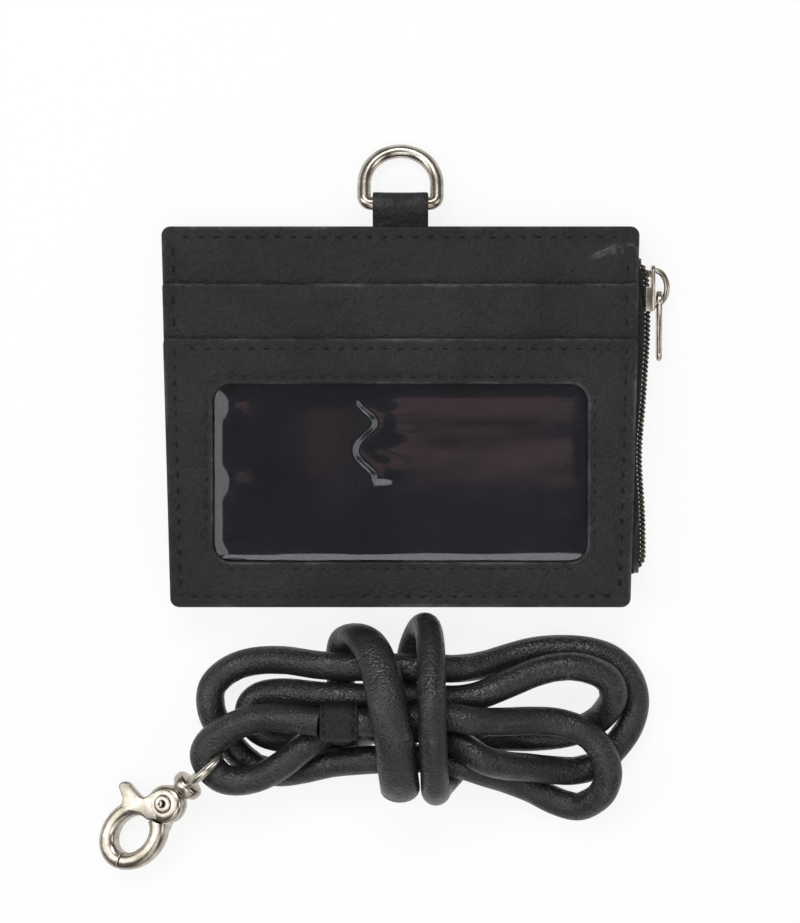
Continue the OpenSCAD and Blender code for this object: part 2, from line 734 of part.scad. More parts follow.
module clasp_body() {
    half = clasp_t / 2;
    color(nickel)
        on_clasp() difference() {
            union() {
                translate([0, 0, -half])
                    cylinder(r = head_r, h = half - half_split);
                translate([0, 0, -half])
                    linear_extrude(clasp_t)
                        difference() {
                            intersection() {
                                jaw_outline();
                                beyond_split(1);
                            }
                            circle(head_r + 2 * half_split);
                        }
                translate([0, 0, -half])
                    linear_extrude(half - half_split)
                        intersection() {
                            jaw_outline();
                            beyond_split(1);
                        }
                translate([stem_x, 0, 0])
                    rotate([0, 90, 0])
                        difference() {
                            cylinder(r = stem_r, h = -stem_x);
                            translate([-head_r, -head_r, -overrun])
                                cube([head_r - half_split, 2 * head_r, 2 * head_r]);
                        }
                difference() {
                    translate([stem_x, 0, 0])
                        rotate([0, 90, 0])
                            cylinder(r = stem_r, h = -stem_x - head_r + 2 * half_split);
                    cylinder(r = head_r + 2 * half_split, h = head_r);
                }
            }
            translate([0, 0, -head_r])
                cylinder(d = pin_d + 2 * pin_clear, h = 2 * head_r);
            spring_groove();
            translate([stem_x - overrun, 0, 0])
                rotate([0, 90, 0])
                    cylinder(r = swivel_pin_r + pin_clear, h = swivel_bore + overrun);
        }
}

lever_tip = [5.5, -10];
lever_root = [3.4, -4];
lever_w = 3;
lever_t = 2.8;

module gate_lever() {
    half = clasp_t / 2;
    d = unit(lever_tip - lever_root);
    n = [-d.y, d.x];
    color(nickel)
        on_clasp() difference() {
            union() {
                translate([0, 0, half_split])
                    cylinder(r = head_r, h = half - half_split);
                translate([0, 0, -half])
                    linear_extrude(clasp_t)
                        difference() {
                            intersection() {
                                jaw_outline();
                                beyond_split(-1);
                            }
                            circle(head_r + 2 * half_split);
                        }
                translate([0, 0, half_split])
                    linear_extrude(half - half_split)
                        intersection() {
                            jaw_outline();
                            beyond_split(-1);
                        }
                translate([0, 0, -lever_t / 2])
                    linear_extrude(lever_t)
                        difference() {
                            polygon([lever_root - lever_w * n, lever_tip - lever_w / 3 * n - lever_w / 4 * d,
                                lever_tip - lever_w / 6 * n, lever_tip + lever_w / 6 * n,
                                lever_tip + lever_w / 3 * n - lever_w / 4 * d, lever_root + lever_w / 2 * n]);
                            circle(head_r + 2 * half_split);
                        }
            }
            translate([0, 0, -head_r])
                cylinder(d = pin_d + 2 * pin_clear, h = 2 * head_r);
            spring_groove();
            swivel_relief();
        }
}

module gate_pin() {
    half = clasp_t / 2;
    color(nickel)
        on_clasp() difference() {
            union() {
                translate([0, 0, -half])
                    cylinder(d = pin_d, h = clasp_t + pin_clear);
                translate([0, 0, half + pin_clear])
                    cylinder(r = rivet_r, h = rivet_t);
            }
            translate([0, 0, half + pin_clear - rivet_t])
                cylinder(r = rivet_bore_r, h = 2 * rivet_t + overrun);
        }
}

module gate_spring() {
    color(nickel)
        on_clasp() wire_arc(spring_r, spring_wire, 0, 300);
}

eye_at = -12.45;
eye_in = 4;
collar_r = 3.5;
collar_l = 2.6;
collar_gap = 0.25;

module swivel_eye() {
    color(nickel)
        on_axis()
            translate([eye_at, 0, 0])
                rotate([90, 0, 0])
                    rotate_extrude()
                        translate([eye_in + eye_wire / 2, 0])
                            circle(eye_wire / 2);
}

module swivel_collar() {
    end = stem_x - collar_gap;
    color(nickel)
        on_axis() difference() {
            translate([end - collar_l, 0, 0])
                rotate([0, 90, 0])
                    rotate_extrude()
                        polygon([[0, 0], [collar_r - collar_l / 3, 0], [collar_r, collar_l / 3],
                            [collar_r, collar_l * 2 / 3], [collar_r - collar_l / 3, collar_l],
                            [swivel_pin_r, collar_l],
                            [swivel_pin_r, collar_l + swivel_bore],
                            [0, collar_l + swivel_bore]]);
            translate([eye_at, 0, 0])
                rotate([90, 0, 0])
                    rotate_extrude()
                        translate([eye_in + eye_wire / 2, 0])
                            circle(eye_wire / 2 + pin_clear);
        }
}

print_least_gap();  // neck_cord
back_panel();
pouch_lining();
pouch_front();
front_wall();
card_pocket();
window_pocket();
window_film();
ring_tab();
perimeter_stitching();
window_stitching();
pocket_edge_stitching();
zip_tape_front();
zip_tape_back();
zip_coil_front();
zip_coil_back();
zip_top_stop();
zip_bottom_stop();
slider_body();
slider_bail();
pull_tab();
d_ring();
neck_cord();
hanger_loop();
cord_keeper();
keeper_stitching();
swivel_eye();
swivel_collar();
clasp_body();
gate_lever();
gate_pin();
gate_spring();
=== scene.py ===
"""Badge wallet with a zip pouch and a leather lanyard: looks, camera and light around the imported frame."""
import logging
import math
from dataclasses import dataclass, field
from enum import Enum
from typing import Callable, Iterable, Sequence

import bmesh
import bpy
from mathutils import Matrix, Vector, noise


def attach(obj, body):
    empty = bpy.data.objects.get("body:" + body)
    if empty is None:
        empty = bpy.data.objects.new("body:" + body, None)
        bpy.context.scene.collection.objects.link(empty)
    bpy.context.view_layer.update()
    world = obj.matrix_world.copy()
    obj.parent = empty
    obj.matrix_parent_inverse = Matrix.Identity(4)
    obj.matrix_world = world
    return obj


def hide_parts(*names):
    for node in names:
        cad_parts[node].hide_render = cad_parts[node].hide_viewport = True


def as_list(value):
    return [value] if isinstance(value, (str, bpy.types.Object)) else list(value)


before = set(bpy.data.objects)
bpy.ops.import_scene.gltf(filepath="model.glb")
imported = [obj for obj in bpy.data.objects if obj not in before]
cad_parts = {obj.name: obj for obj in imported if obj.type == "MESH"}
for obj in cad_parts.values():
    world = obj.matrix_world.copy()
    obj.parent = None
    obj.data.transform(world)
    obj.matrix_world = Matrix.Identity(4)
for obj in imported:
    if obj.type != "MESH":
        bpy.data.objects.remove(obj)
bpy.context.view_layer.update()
LOG = logging.getLogger("badge_wallet")
MM = 0.001
UP = Vector((0.0, 0.0, 1.0))
POINT = 0.001  # the share that a ring shrinks to where it closes an end
CHAIN_X = 53.75  # where the zip's chain would run if it were straight, in millimetres
CHAIN_STRAIGHT = 31.0  # how far from its middle the chain's ends start to turn in

Mesh = bmesh.types.BMesh
Thing = bpy.types.Object
Socket = bpy.types.NodeSocket
Pair = tuple[float, float]
Point = tuple[float, float, float]
Row = list[Vector]
Height = Callable[[float, float], float]

# The routes of the cords' centre lines, in millimetres, as in the part's source
NECK_ROUTE = (
    (-9.2, -66.5, 16.5), (-3, -66.5, 16.5), (4, -65.4, 17), (10, -65, 18), (16, -66, 18.2),
    (22, -66.6, 14.6), (29, -66.8, 11.4), (35, -67.4, 10.2), (40, -69.2, 10.2), (44, -73, 10.2),
    (45.8, -78.5, 10), (44.4, -83.6, 8), (40, -86.8, 5), (35, -86, 3.4), (29, -83.1, 3.4),
    (24, -80.9, 5), (19, -78.8, 8.2), (14, -76.9, 10.1), (8, -75.5, 10.2), (0, -75.4, 10.2),
    (-6, -75.6, 10.2), (-10, -75.9, 10), (-15, -76.6, 8.6), (-21, -78.2, 6.8), (-27, -79.4, 4.2),
    (-32, -78.4, 3.3), (-36, -75.3, 3.3), (-39.2, -71.2, 3.3), (-42, -66, 3.3), (-42, -60.6, 3.3),
    (-38.5, -56.8, 3.3), (-33, -54.6, 3.6), (-26, -54, 6), (-18, -54.7, 9.4), (-10, -55, 10.2),
    (-3, -55.1, 10.2), (5, -55.1, 10.2), (12, -55.5, 9.4), (18, -55.2, 6.4), (24, -53.6, 4.4),
    (30, -52.2, 3.5), (36, -51.8, 3.3), (42, -52.3, 3.3), (47, -54.2, 3.3), (50.8, -58.2, 3.3),
    (52.2, -63.5, 3.3), (51, -69, 3.3), (47.6, -74, 3.3), (43.4, -77.8, 3.3), (38.5, -79, 4),
    (33, -78.4, 6.4), (28, -77.4, 9.8), (23, -76.4, 13.6), (18, -74.6, 16.4), (13.5, -71.8, 15),
    (9, -69.2, 12.6), (4, -68.6, 10.8), (-1, -68.6, 10.2), (-5, -68.9, 8.2), (-8.5, -70.6, 4.2),
    (-12.5, -71.9, 3.3), (-18, -72.2, 3.3), (-25, -72, 3.3), (-30, -70.9, 3.3), (-33.1, -68.3, 3.3),
    (-33.6, -65, 3.3), (-31.4, -62.4, 3.6), (-26, -61.2, 6), (-18, -61.5, 9.4), (-10, -61.8, 10.1),
    (-3, -61.8, 10.2), (5, -61.8, 10.2), (11, -62.2, 10.9), (17, -61.3, 11.3), (24, -58.6, 11),
    (30, -56.2, 10.2), (36, -55, 10), (41.5, -55.6, 9.8), (45.8, -58, 9.3), (47, -62, 8.4),
    (45, -66.4, 5), (41, -69.4, 3.4), (35.5, -71, 3.3), (29, -71.6, 3.3), (23, -71.6, 3.3),
    (18, -72.6, 3.3), (14.4, -75.6, 3.3), (11.4, -79.4, 3.4), (8.8, -82, 5.6), (7.9, -82.6, 10.4),
    (7.6, -80.8, 16), (7.3, -75.6, 20.8), (7, -69.5, 24), (6.8, -63, 24.4), (6.7, -56.5, 21.4),
    (6.6, -50, 16.4), (5.9, -46.4, 10.8), (4.4, -47.4, 5.6), (2.6, -52, 3.5), (1.4, -60, 3.3),
    (0.8, -69, 3.3), (0.2, -77, 3.4), (-0.1, -81.8, 5.8), (-0.1, -82.4, 10.6), (-0.2, -80.2, 16.2),
    (-0.8, -74.5, 20.8), (-1.6, -68, 23.4), (-2.8, -61.4, 22.8), (-4.3, -55.4, 19.6),
    (-6.4, -50.2, 15.6), (-9, -48.2, 10.6), (-11.6, -49.2, 5.8), (-13, -52.8, 3.5), (-13.2, -57, 3.3),
    (-13.2, -65.3, 3.3))
HANGER_ROUTE = (
    (-17.6, -66.5, 16.5), (-24, -65.8, 15.2), (-31, -66, 12.6), (-37.5, -67.7, 10.8), (-42.2, -70.3, 9.9),
    (-44.4, -74.2, 9.5), (-43.2, -78, 9.4), (-39.8, -80.7, 9.5), (-35.5, -80.8, 10.2), (-30, -78.9, 11.2),
    (-25, -75.7, 12.3), (-21, -72.6, 11.7), (-16.5, -69.7, 10.2))


def linear(hex_colour: str) -> tuple[float, float, float, float]:
    """Turns an sRGB hex colour to linear light.

    Args:
        hex_colour: Six hex digits after a hash sign.

    Returns:
        Linear red, green, blue and an alpha of 1.
    """
    parts = [int(hex_colour[i:i + 2], 16) / 255 for i in (1, 3, 5)]
    red, green, blue = (p / 12.92 if p <= 0.04045 else ((p + 0.055) / 1.055) ** 2.4 for p in parts)
    return red, green, blue, 1.0


def vec(x: float, y: float, z: float) -> Vector:
    """A point in millimetres, given in metres."""
    return Vector((x, y, z)) * MM


def smooth_step(t: float) -> float:
    """A soft ramp from 0 to 1."""
    t = min(1.0, max(0.0, t))
    return t * t * (3 - 2 * t)


def bell(distance: float, width: float) -> float:
    """A soft bump of height 1 that fades with distance."""
    return math.exp(-(distance / width) ** 2)


def squarer(c: float, power: float) -> float:
    """Turns a circle's sine or cosine to that of a rounded square; a lower power is squarer."""
    return math.copysign(abs(c) ** power, c)


def ripple(x: float, y: float, z: float, scale: float) -> float:
    """Smooth noise between about -1 and 1, with lumps of the given size in the units of the point."""
    return noise.noise(Vector((x, y, z)) / scale)


def placed(name: str, data: bpy.types.ID) -> Thing:
    """Puts data into the scene.

    Args:
        name: The object's name.
        data: The mesh, lamp or camera.

    Returns:
        The new object.
    """
    thing = bpy.data.objects.new(name, data)
    bpy.context.scene.collection.objects.link(thing)
    return thing


def meshed(name: str, bm: Mesh) -> bpy.types.Mesh:
    """Turns a bmesh to a mesh.

    Args:
        name: The mesh's name.
        bm: The bmesh, which is freed.

    Returns:
        The new mesh.
    """
    mesh = bpy.data.meshes.new(name)
    bm.to_mesh(mesh)
    bm.free()
    return mesh


def round_off(inside: float, radius: float) -> float:
    """How far a rounded edge has dropped at a distance inside it."""
    return radius - math.sqrt(max(0.0, radius ** 2 - (radius - min(inside, radius)) ** 2))


def arc(x: float, y: float, radius: float, start: float, end: float, steps: int) -> list[Pair]:
    """Points of an arc.

    Args:
        x: First coordinate of its centre.
        y: Second coordinate of its centre.
        radius: Its radius.
        start: The angle that it starts at, in degrees.
        end: The angle that it ends at, in degrees.
        steps: Number of steps.

    Returns:
        Pairs of coordinates, one more than there are steps.
    """
    angles = [math.radians(start + (end - start) * i / steps) for i in range(steps + 1)]
    return [(x + radius * math.cos(a), y + radius * math.sin(a)) for a in angles]


def circle(sides: int) -> list[Pair]:
    """The cosine and sine of each of the even steps round a circle."""
    return [(math.cos(math.tau * k / sides), math.sin(math.tau * k / sides)) for k in range(sides)]


def lifted(points: Iterable[Vector], z: float) -> Row:
    """Flat points in millimetres as points in metres at a height in millimetres."""
    return [vec(p.x, p.y, z) for p in points]


def curve_through(points: Sequence[Vector], count: int) -> list[Vector]:
    """Points of a smooth curve through others.

    Args:
        points: The points that the curve passes through.
        count: How many points to return.

    Returns:
        Points at even steps of the curve's parameter.
    """
    last = len(points) - 1
    out = []
    for i in range(count):
        t = last * i / (count - 1)
        k = min(int(t), last - 1)
        u = t - k
        a, b, c, d = points[max(k - 1, 0)], points[k], points[k + 1], points[min(k + 2, last)]
        out.append((2 * b + (c - a) * u + (2 * a - 5 * b + 4 * c - d) * u * u
                    + (3 * b - a - 3 * c + d) * u ** 3) / 2)
    return out


def headings(path: Sequence[Vector]) -> list[Vector]:
    """The direction of a path at each of its points."""
    last = len(path) - 1
    return [(path[min(i + 1, last)] - path[max(i - 1, 0)]).normalized() for i in range(last + 1)]


def carried(ways: Sequence[Vector], start: Vector) -> list[Vector]:
    """Side directions along a path, carried from the first one without twist.

    Args:
        ways: The path's directions.
        start: A side direction at its start.

    Returns:
        A side direction for each way, square to it.
    """
    out, side = [], start
    for way in ways:
        side = (side - side.dot(way) * way).normalized()
        out.append(side)
    return out


def loft(rows: Sequence[Row], across: bool = False, along: bool = False) -> Mesh:
    """A skin over rows of points: a grid whose vertices are set row by row.

    Args:
        rows: Rows with the same number of points each.
        across: Whether each row closes on itself.
        along: Whether the last row joins the first.

    Returns:
        A new bmesh with a "UVMap" layer that holds millimetres: along the rows, and from row to row.
    """
    count = len(rows[0])
    rows = [list(row) + ([row[0]] if across else []) for row in rows]
    if along:
        rows.append(list(rows[0]))
    bm = bmesh.new()
    wide, high = len(rows[0]) - 1, len(rows) - 1
    bmesh.ops.create_grid(bm, x_segments=wide, y_segments=high, size=1.0)
    bm.verts.ensure_lookup_table()
    for j, row in enumerate(rows):
        for i, point in enumerate(row):
            bm.verts[j * (wide + 1) + i].co = point
    middle = count // 2
    run, total = [0.0], 0.0
    for j in range(high):
        total += (rows[j + 1][middle] - rows[j][middle]).length / MM
        run.append(total)
    widest = rows[len(rows) // 2]
    girth, total = [0.0], 0.0
    for i in range(wide):
        total += (widest[i + 1] - widest[i]).length / MM
        girth.append(total)
    layer = bm.loops.layers.uv.new("UVMap")
    for face in bm.faces:
        for loop in face.loops:
            j, i = divmod(loop.vert.index, wide + 1)
            loop[layer].uv = (girth[i], run[j])
    bmesh.ops.remove_doubles(bm, verts=bm.verts, dist=1e-7)
    return bm


def tube(path: Sequence[Vector], radius: float, sides: int) -> Mesh:
    """A round tube along a path, closed by flat caps.

    Args:
        path: Points of the centre line.
        radius: Radius in metres.
        sides: Points of each ring.

    Returns:
        A new bmesh.
    """
    ways = headings(path)
    sideways = carried(ways, UP)

    def ring(k: int, shrink: float) -> Row:
        """One ring of the tube, shrunk by a share."""
        side, other = sideways[k], ways[k].cross(sideways[k])
        return [path[k] + shrink * (radius * c * side + radius * s * other) for c, s in circle(sides)]

    rows = [ring(0, POINT), *(ring(k, 1.0) for k in range(len(path))), ring(len(path) - 1, POINT)]
    bm = loft(rows, across=True)
    bmesh.ops.remove_doubles(bm, verts=bm.verts, dist=2e-6)
    return bm


def close_holes(bm: Mesh) -> None:
    """Fills every open border of a mesh."""
    bmesh.ops.holes_fill(bm, edges=[e for e in bm.edges if e.is_boundary], sides=0)


def thicken(bm: Mesh, way: Vector) -> None:
    """Extrudes all faces of a flat mesh by a vector.

    Args:
        bm: The mesh, with its faces in one plane.
        way: The extrusion, in metres.
    """
    raised = bmesh.ops.extrude_face_region(bm, geom=list(bm.faces))
    bmesh.ops.translate(bm, verts=[v for v in raised["geom"] if isinstance(v, bmesh.types.BMVert)], vec=way)
    bmesh.ops.recalc_face_normals(bm, faces=bm.faces)


def bevel(bm: Mesh, edges: Sequence[bmesh.types.BMEdge], rounding: float, segments: int = 3) -> None:
    """Rounds edges of a mesh by a size in millimetres."""
    bmesh.ops.bevel(bm, geom=edges, offset=rounding * MM, segments=segments, profile=0.5, affect="EDGES", material=-1)


def prism(corners: Iterable[Vector], way: Vector, rounding: float, segments: int = 3) -> Mesh:
    """A prism with rounded edges.

    Args:
        corners: Corners of its first face, in metres.
        way: From the first face to the last, in metres.
        rounding: Size of the rounding, in millimetres.
        segments: Steps of the rounding.

    Returns:
        A new bmesh.
    """
    bm = bmesh.new()
    bm.faces.new([bm.verts.new(corner) for corner in corners])
    thicken(bm, way)
    bevel(bm, list(bm.edges), rounding, segments)
    return bm


def piece(name: str, bm: Mesh, material: bpy.types.Material, body: str,
          replaces: Iterable[str] = (), smooth_angle: float = 40.0) -> Thing:
    """Makes an object of a bmesh, dresses it and lets it ride on a body.

    Args:
        name: The object's name.
        bm: Its mesh, which is freed.
        material: Its finish.
        body: The CAD body that carries it.
        replaces: The CAD nodes that it stands for.
        smooth_angle: Edges sharper than this, in degrees, stay crisp.

    Returns:
        The new object.
    """
    bmesh.ops.recalc_face_normals(bm, faces=bm.faces)
    limit = math.radians(smooth_angle)
    for edge in bm.edges:
        edge.smooth = len(edge.link_faces) != 2 or edge.calc_face_angle(0.0) < limit
    for face in bm.faces:
        face.smooth = True
    mesh = meshed(name, bm)
    mesh.materials.append(material)
    obj = placed(name, mesh)
    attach(obj, body)
    if replaces:
        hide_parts(*replaces)
    LOG.info("%s: %d faces", name, len(mesh.polygons))
    return obj


def joined(parts: Iterable[Mesh]) -> Mesh:
    """One bmesh out of several, which are freed.

    Args:
        parts: The meshes.

    Returns:
        A new bmesh.
    """
    out = bmesh.new()
    for part in parts:
        mesh = meshed("part", part)
        out.from_mesh(mesh)
        bpy.data.meshes.remove(mesh)
    return out


def add(tree: bpy.types.NodeTree, kind: str, values: dict | None = None, links: dict | None = None,
        **settings: object) -> bpy.types.Node:
    """Adds a node with its settings, input values and links.

    Args:
        tree: The node tree.
        kind: The node's type, without the ShaderNode prefix.
        values: Input values by socket name or number.
        links: Output sockets to join to inputs, by socket name or number.
        settings: Attributes of the node.

    Returns:
        The new node.
    """
    node = tree.nodes.new("ShaderNode" + kind)
    for key, value in settings.items():
        setattr(node, key, value)
    for key, value in (values or {}).items():
        node.inputs[key].default_value = value
    for key, socket in (links or {}).items():
        tree.links.new(socket, node.inputs[key])
    return node


class Nodes:
    """The nodes of one material, round its Principled shader."""

    def __init__(self, name: str, colour: str, roughness: float) -> None:
        """Makes a material with a plain shader.

        Args:
            name: The material's name.
            colour: Its hex colour.
            roughness: Its roughness.
        """
        self.material = bpy.data.materials.new(name)
        self.material.use_nodes = True
        self.tree = self.material.node_tree
        self.tree.nodes.clear()
        self.shader = add(self.tree, "BsdfPrincipled", {"Base Color": linear(colour), "Roughness": roughness})
        self.output = add(self.tree, "OutputMaterial", links={"Surface": self.shader.outputs["BSDF"]})

    def coordinates(self, kind: str = "Object") -> Socket:
        """The object's own coordinates, or its UV ones."""
        return add(self.tree, "TexCoord").outputs[kind]

    def mapped(self, place: Socket, **values: Point) -> Socket:
        """Coordinates turned or stretched by a mapping node."""
        named = {key.title(): value for key, value in values.items()}
        return add(self.tree, "Mapping", named, {"Vector": place}).outputs["Vector"]

    def cells(self, place: Socket, size_mm: float) -> Socket:
        """Distance from the middle of soft round cells of a size."""
        return add(self.tree, "TexVoronoi", {"Scale": 1 / (size_mm * MM), "Randomness": 1.0}, {"Vector": place},
                   feature="SMOOTH_F1").outputs["Distance"]

    def speckle(self, place: Socket, size_mm: float, detail: float,
                **values: float) -> Socket:
        """Noise with lumps of a size.

        Args:
            place: The coordinates.
            size_mm: Size of the lumps.
            detail: Number of finer layers.
            values: The node's roughness and distortion.

        Returns:
            The noise.
        """
        named = {key.title(): value for key, value in values.items()}
        return add(self.tree, "TexNoise", {"Scale": 1 / (size_mm * MM), "Detail": detail} | named,
                   {"Vector": place}).outputs["Fac"]

    def waves(self, place: Socket, scale: float, distortion: float = 0.0,
              direction: str = "X") -> Socket:
        """Even bands across a direction."""
        return add(self.tree, "TexWave", {"Scale": scale, "Distortion": distortion}, {"Vector": place},
                   bands_direction=direction).outputs["Fac"]

    def maths(self, operation: str, *terms: Socket | float, **settings: bool) -> Socket:
        """The result of a maths node whose terms are sockets or numbers.

        Args:
            operation: What it does with them.
            terms: The sockets and numbers.
            settings: Attributes of the node.

        Returns:
            The result.
        """
        numbers = {i: term for i, term in enumerate(terms) if isinstance(term, float)}
        sockets = {i: term for i, term in enumerate(terms) if i not in numbers}
        return add(self.tree, "Math", numbers, sockets, operation=operation, **settings).outputs[0]

    def ranged(self, value: Socket, source: Pair,
               target: Pair) -> Socket:
        """Maps one range of a value to another, and keeps it inside."""
        limits = dict(zip(("From Min", "From Max", "To Min", "To Max"), (*source, *target)))
        return add(self.tree, "MapRange", limits, {"Value": value}).outputs["Result"]

    def drive(self, name: str, value: Socket | float) -> None:
        """Sets an input of the shader to a number, or links it to a socket.

        Args:
            name: The input's name.
            value: The number or socket.
        """
        if isinstance(value, float):
            self.shader.inputs[name].default_value = value
        else:
            self.tree.links.new(value, self.shader.inputs[name])

    def tones(self, share: Socket, stops: Sequence[tuple[float, str]]) -> None:
        """Colours the shader by a share between 0 and 1.

        Args:
            share: The socket that drives the colour.
            stops: Places and hex colours of the ramp.
        """
        ramp = add(self.tree, "ValToRGB", links={"Fac": share})
        elements = ramp.color_ramp.elements
        while len(elements) < len(stops):
            elements.new(0.5)
        for element, (place, colour) in zip(elements, stops):
            element.position, element.color = place, linear(colour)
        self.drive("Base Color", ramp.outputs["Color"])

    def relief(self, height: Socket, depth_mm: float) -> None:
        """Raises the surface by a height map, whose full range is depth_mm deep."""
        bump = add(self.tree, "Bump", {"Strength": 1.0, "Distance": depth_mm * MM}, {"Height": height})
        self.drive("Normal", bump.outputs["Normal"])


@dataclass(frozen=True)
class Finish:
    """What every finish has: a name, a colour and a plain gloss."""
    name: str
    colour: str
    roughness: float

    def material(self) -> bpy.types.Material:
        """A new material that this finish dresses.

        Returns:
            The new material.
        """
        nodes = Nodes(self.name, self.colour, self.roughness)
        self.dress(nodes)
        return nodes.material

    def dress(self, nodes: Nodes) -> None:
        """Adds the pattern of the finish."""


@dataclass(frozen=True)
class CowhideFinish(Finish):
    """Black drum-dyed cowhide with a fine pebbled grain: its highlights break up into specks.

    The pebbles are 0.8 mm across, with hair pores between them. Edges that hands scuff are lighter; the same lightened
    attribute also carries painted glints on the crumple in the rear sheet's upper right corner and a painted highlight
    along the tab's fold.
    """
    grain_mm: float = 0.8
    wrinkle_mm: float = 2.56
    pore_mm: float = 0.3
    patch_mm: float = 22.0
    spot_mm: float = 1.6
    deep_mm: float = 0.3
    pale: str = "#222224"
    lightened: str = "#4c4c4f"
    gloss_range: float = 0.16
    specular: float = 0.32

    def dress(self, nodes: Nodes) -> None:
        """Pebbles, pores, soft patches, lighter scuffed edges, and the painted glints and painted highlight that the
        lightened attribute carries.

        Args:
            nodes: The material's nodes.
        """
        place = nodes.coordinates()
        wrinkle = nodes.speckle(place, self.wrinkle_mm, 4.0, roughness=0.65, distortion=1.2)
        low = nodes.maths("MULTIPLY_ADD", nodes.speckle(place, self.pore_mm, 3.0), 0.8, wrinkle)
        nodes.relief(nodes.maths("MULTIPLY_ADD", nodes.cells(place, self.grain_mm), -1.0, low), self.deep_mm)
        patch = nodes.speckle(place, self.patch_mm, 4.0, roughness=0.6)
        mixed = nodes.maths("MULTIPLY_ADD", nodes.speckle(place, self.spot_mm, 2.0), 0.5, patch)
        # the attribute read here holds real edge wear, plus painted glints on the crumple and a painted highlight on
        # the tab's fold
        lightening = add(nodes.tree, "Attribute", attribute_name="lightened").outputs["Fac"]
        share = nodes.maths("ADD", nodes.ranged(mixed, (0.5, 1.0), (0.0, 0.6)), lightening, use_clamp=True)
        nodes.tones(share, [(0.0, self.colour), (0.6, self.pale), (1.0, self.lightened)])
        nodes.drive("Roughness", nodes.ranged(patch, (0.35, 0.65), (self.roughness + self.gloss_range, self.roughness)))
        nodes.drive("Specular IOR Level", self.specular)


@dataclass(frozen=True)
class RolledHideFinish(Finish):
    """Soft black lambskin rolled round a core: fine grain whose gloss breaks into specks, with faint creases."""
    grain_mm: float = 0.52
    crease_mm: float = 1.3
    patch_mm: float = 6.0
    deep_mm: float = 0.19
    pale: str = "#242426"
    lightened: str = "#3c3c3f"
    gloss_range: float = 0.2

    def dress(self, nodes: Nodes) -> None:
        """Creases across the cord, along its own length, then grain and patches.

        Args:
            nodes: The material's nodes.
        """
        place = nodes.coordinates()
        long = nodes.mapped(nodes.coordinates("UV"), scale=(0.3 / self.crease_mm, 1.0 / self.crease_mm, 1.0))
        crease = nodes.speckle(long, 1 / MM, 3.0, roughness=0.55, distortion=0.6)
        patch = nodes.speckle(place, self.patch_mm, 3.0)
        fold = nodes.maths("MULTIPLY", crease, 0.15)
        nodes.relief(nodes.maths("MULTIPLY_ADD", nodes.cells(place, self.grain_mm), -1.0, fold), self.deep_mm)
        faint = nodes.maths("MULTIPLY_ADD", crease, 0.7, patch)
        nodes.tones(nodes.ranged(faint, (0.55, 1.15), (0.0, 1.0)),
                    [(0.0, self.colour), (0.7, self.pale), (1.0, self.lightened)])
        nodes.drive("Roughness", nodes.ranged(patch, (0.35, 0.65), (self.roughness + self.gloss_range, self.roughness)))


@dataclass(frozen=True)
class ThreadFinish(Finish):
    """Waxed polyester thread, twisted from three plies: fine slanted ridges with small glints."""
    ply_mm: float = 0.45
    pale: str = "#18181a"

    def dress(self, nodes: Nodes) -> None:
        """Slanted plies across the thread.

        Args:
            nodes: The material's nodes.
        """
        turned = nodes.mapped(nodes.coordinates(), rotation=(0.0, 0.0, math.radians(45)))
        plies = nodes.waves(turned, 1 / (math.tau * self.ply_mm * MM), 1.0)
        nodes.tones(plies, [(0.0, self.colour), (1.0, self.pale)])
        nodes.relief(plies, 0.08)
        nodes.drive("Specular IOR Level", 0.25)


@dataclass(frozen=True)
class TapeFinish(Finish):
    """Woven polyester tape: a tight plain weave, 0.5 mm a thread, coarser than real so that it shows."""
    thread_mm: float = 0.5
    pale: str = "#26262a"

    def dress(self, nodes: Nodes) -> None:
        """Warp and weft.

        Args:
            nodes: The material's nodes.
        """
        place, scale = nodes.coordinates(), 2 / (math.tau * self.thread_mm * MM)
        weave = nodes.maths("MULTIPLY", *(nodes.waves(place, scale, direction=way) for way in "XY"))
        nodes.tones(weave, [(0.0, self.colour), (1.0, self.pale)])
        nodes.relief(weave, 0.12)
        nodes.drive("Sheen Weight", 0.25)


@dataclass(frozen=True)
class CoilFinish(Finish):
    """Nylon monofilament, dyed black, with tan patches painted on as highlights on its turns."""
    glint_colour: str = "#6d6049"
    glint_mm: float = 1.2

    def dress(self, nodes: Nodes) -> None:
        """Patches of painted tan highlight, spread at random.

        Args:
            nodes: The material's nodes.
        """
        pale_share = nodes.speckle(nodes.coordinates(), self.glint_mm, 3.0)
        # painted highlight: tan patches stand in for the glints on the coil's turns
        nodes.tones(pale_share, [(0.35, self.colour), (0.75, self.glint_colour)])
        nodes.relief(pale_share, 0.03)
        nodes.drive("Coat Weight", 0.4)
        nodes.drive("Coat Roughness", 0.2)


@dataclass(frozen=True)
class NickelFinish(Finish):
    """Nickel plate over brass, tumbled and handled: a warm soft mirror with fine scratches."""
    dull: str = "#8f8677"
    haze_mm: float = 3.5
    scratch_mm: float = 0.35
    spread: float = 0.1

    def dress(self, nodes: Nodes) -> None:
        """Haze in patches, and scratches that lie mostly one way.

        Args:
            nodes: The material's nodes.
        """
        place = nodes.coordinates()
        long = nodes.mapped(place, rotation=(0.3, 0.2, 0.9), scale=(1.0, 0.08, 1.0))
        scratch = nodes.speckle(long, self.scratch_mm, 2.0)
        nodes.tones(nodes.speckle(place, self.haze_mm, 4.0, roughness=0.6), [(0.3, self.dull), (0.65, self.colour)])
        nodes.drive("Roughness", nodes.ranged(scratch, (0.0, 1.0), (self.roughness, self.roughness + self.spread)))
        nodes.relief(scratch, 0.0015)
        nodes.drive("Metallic", 1.0)


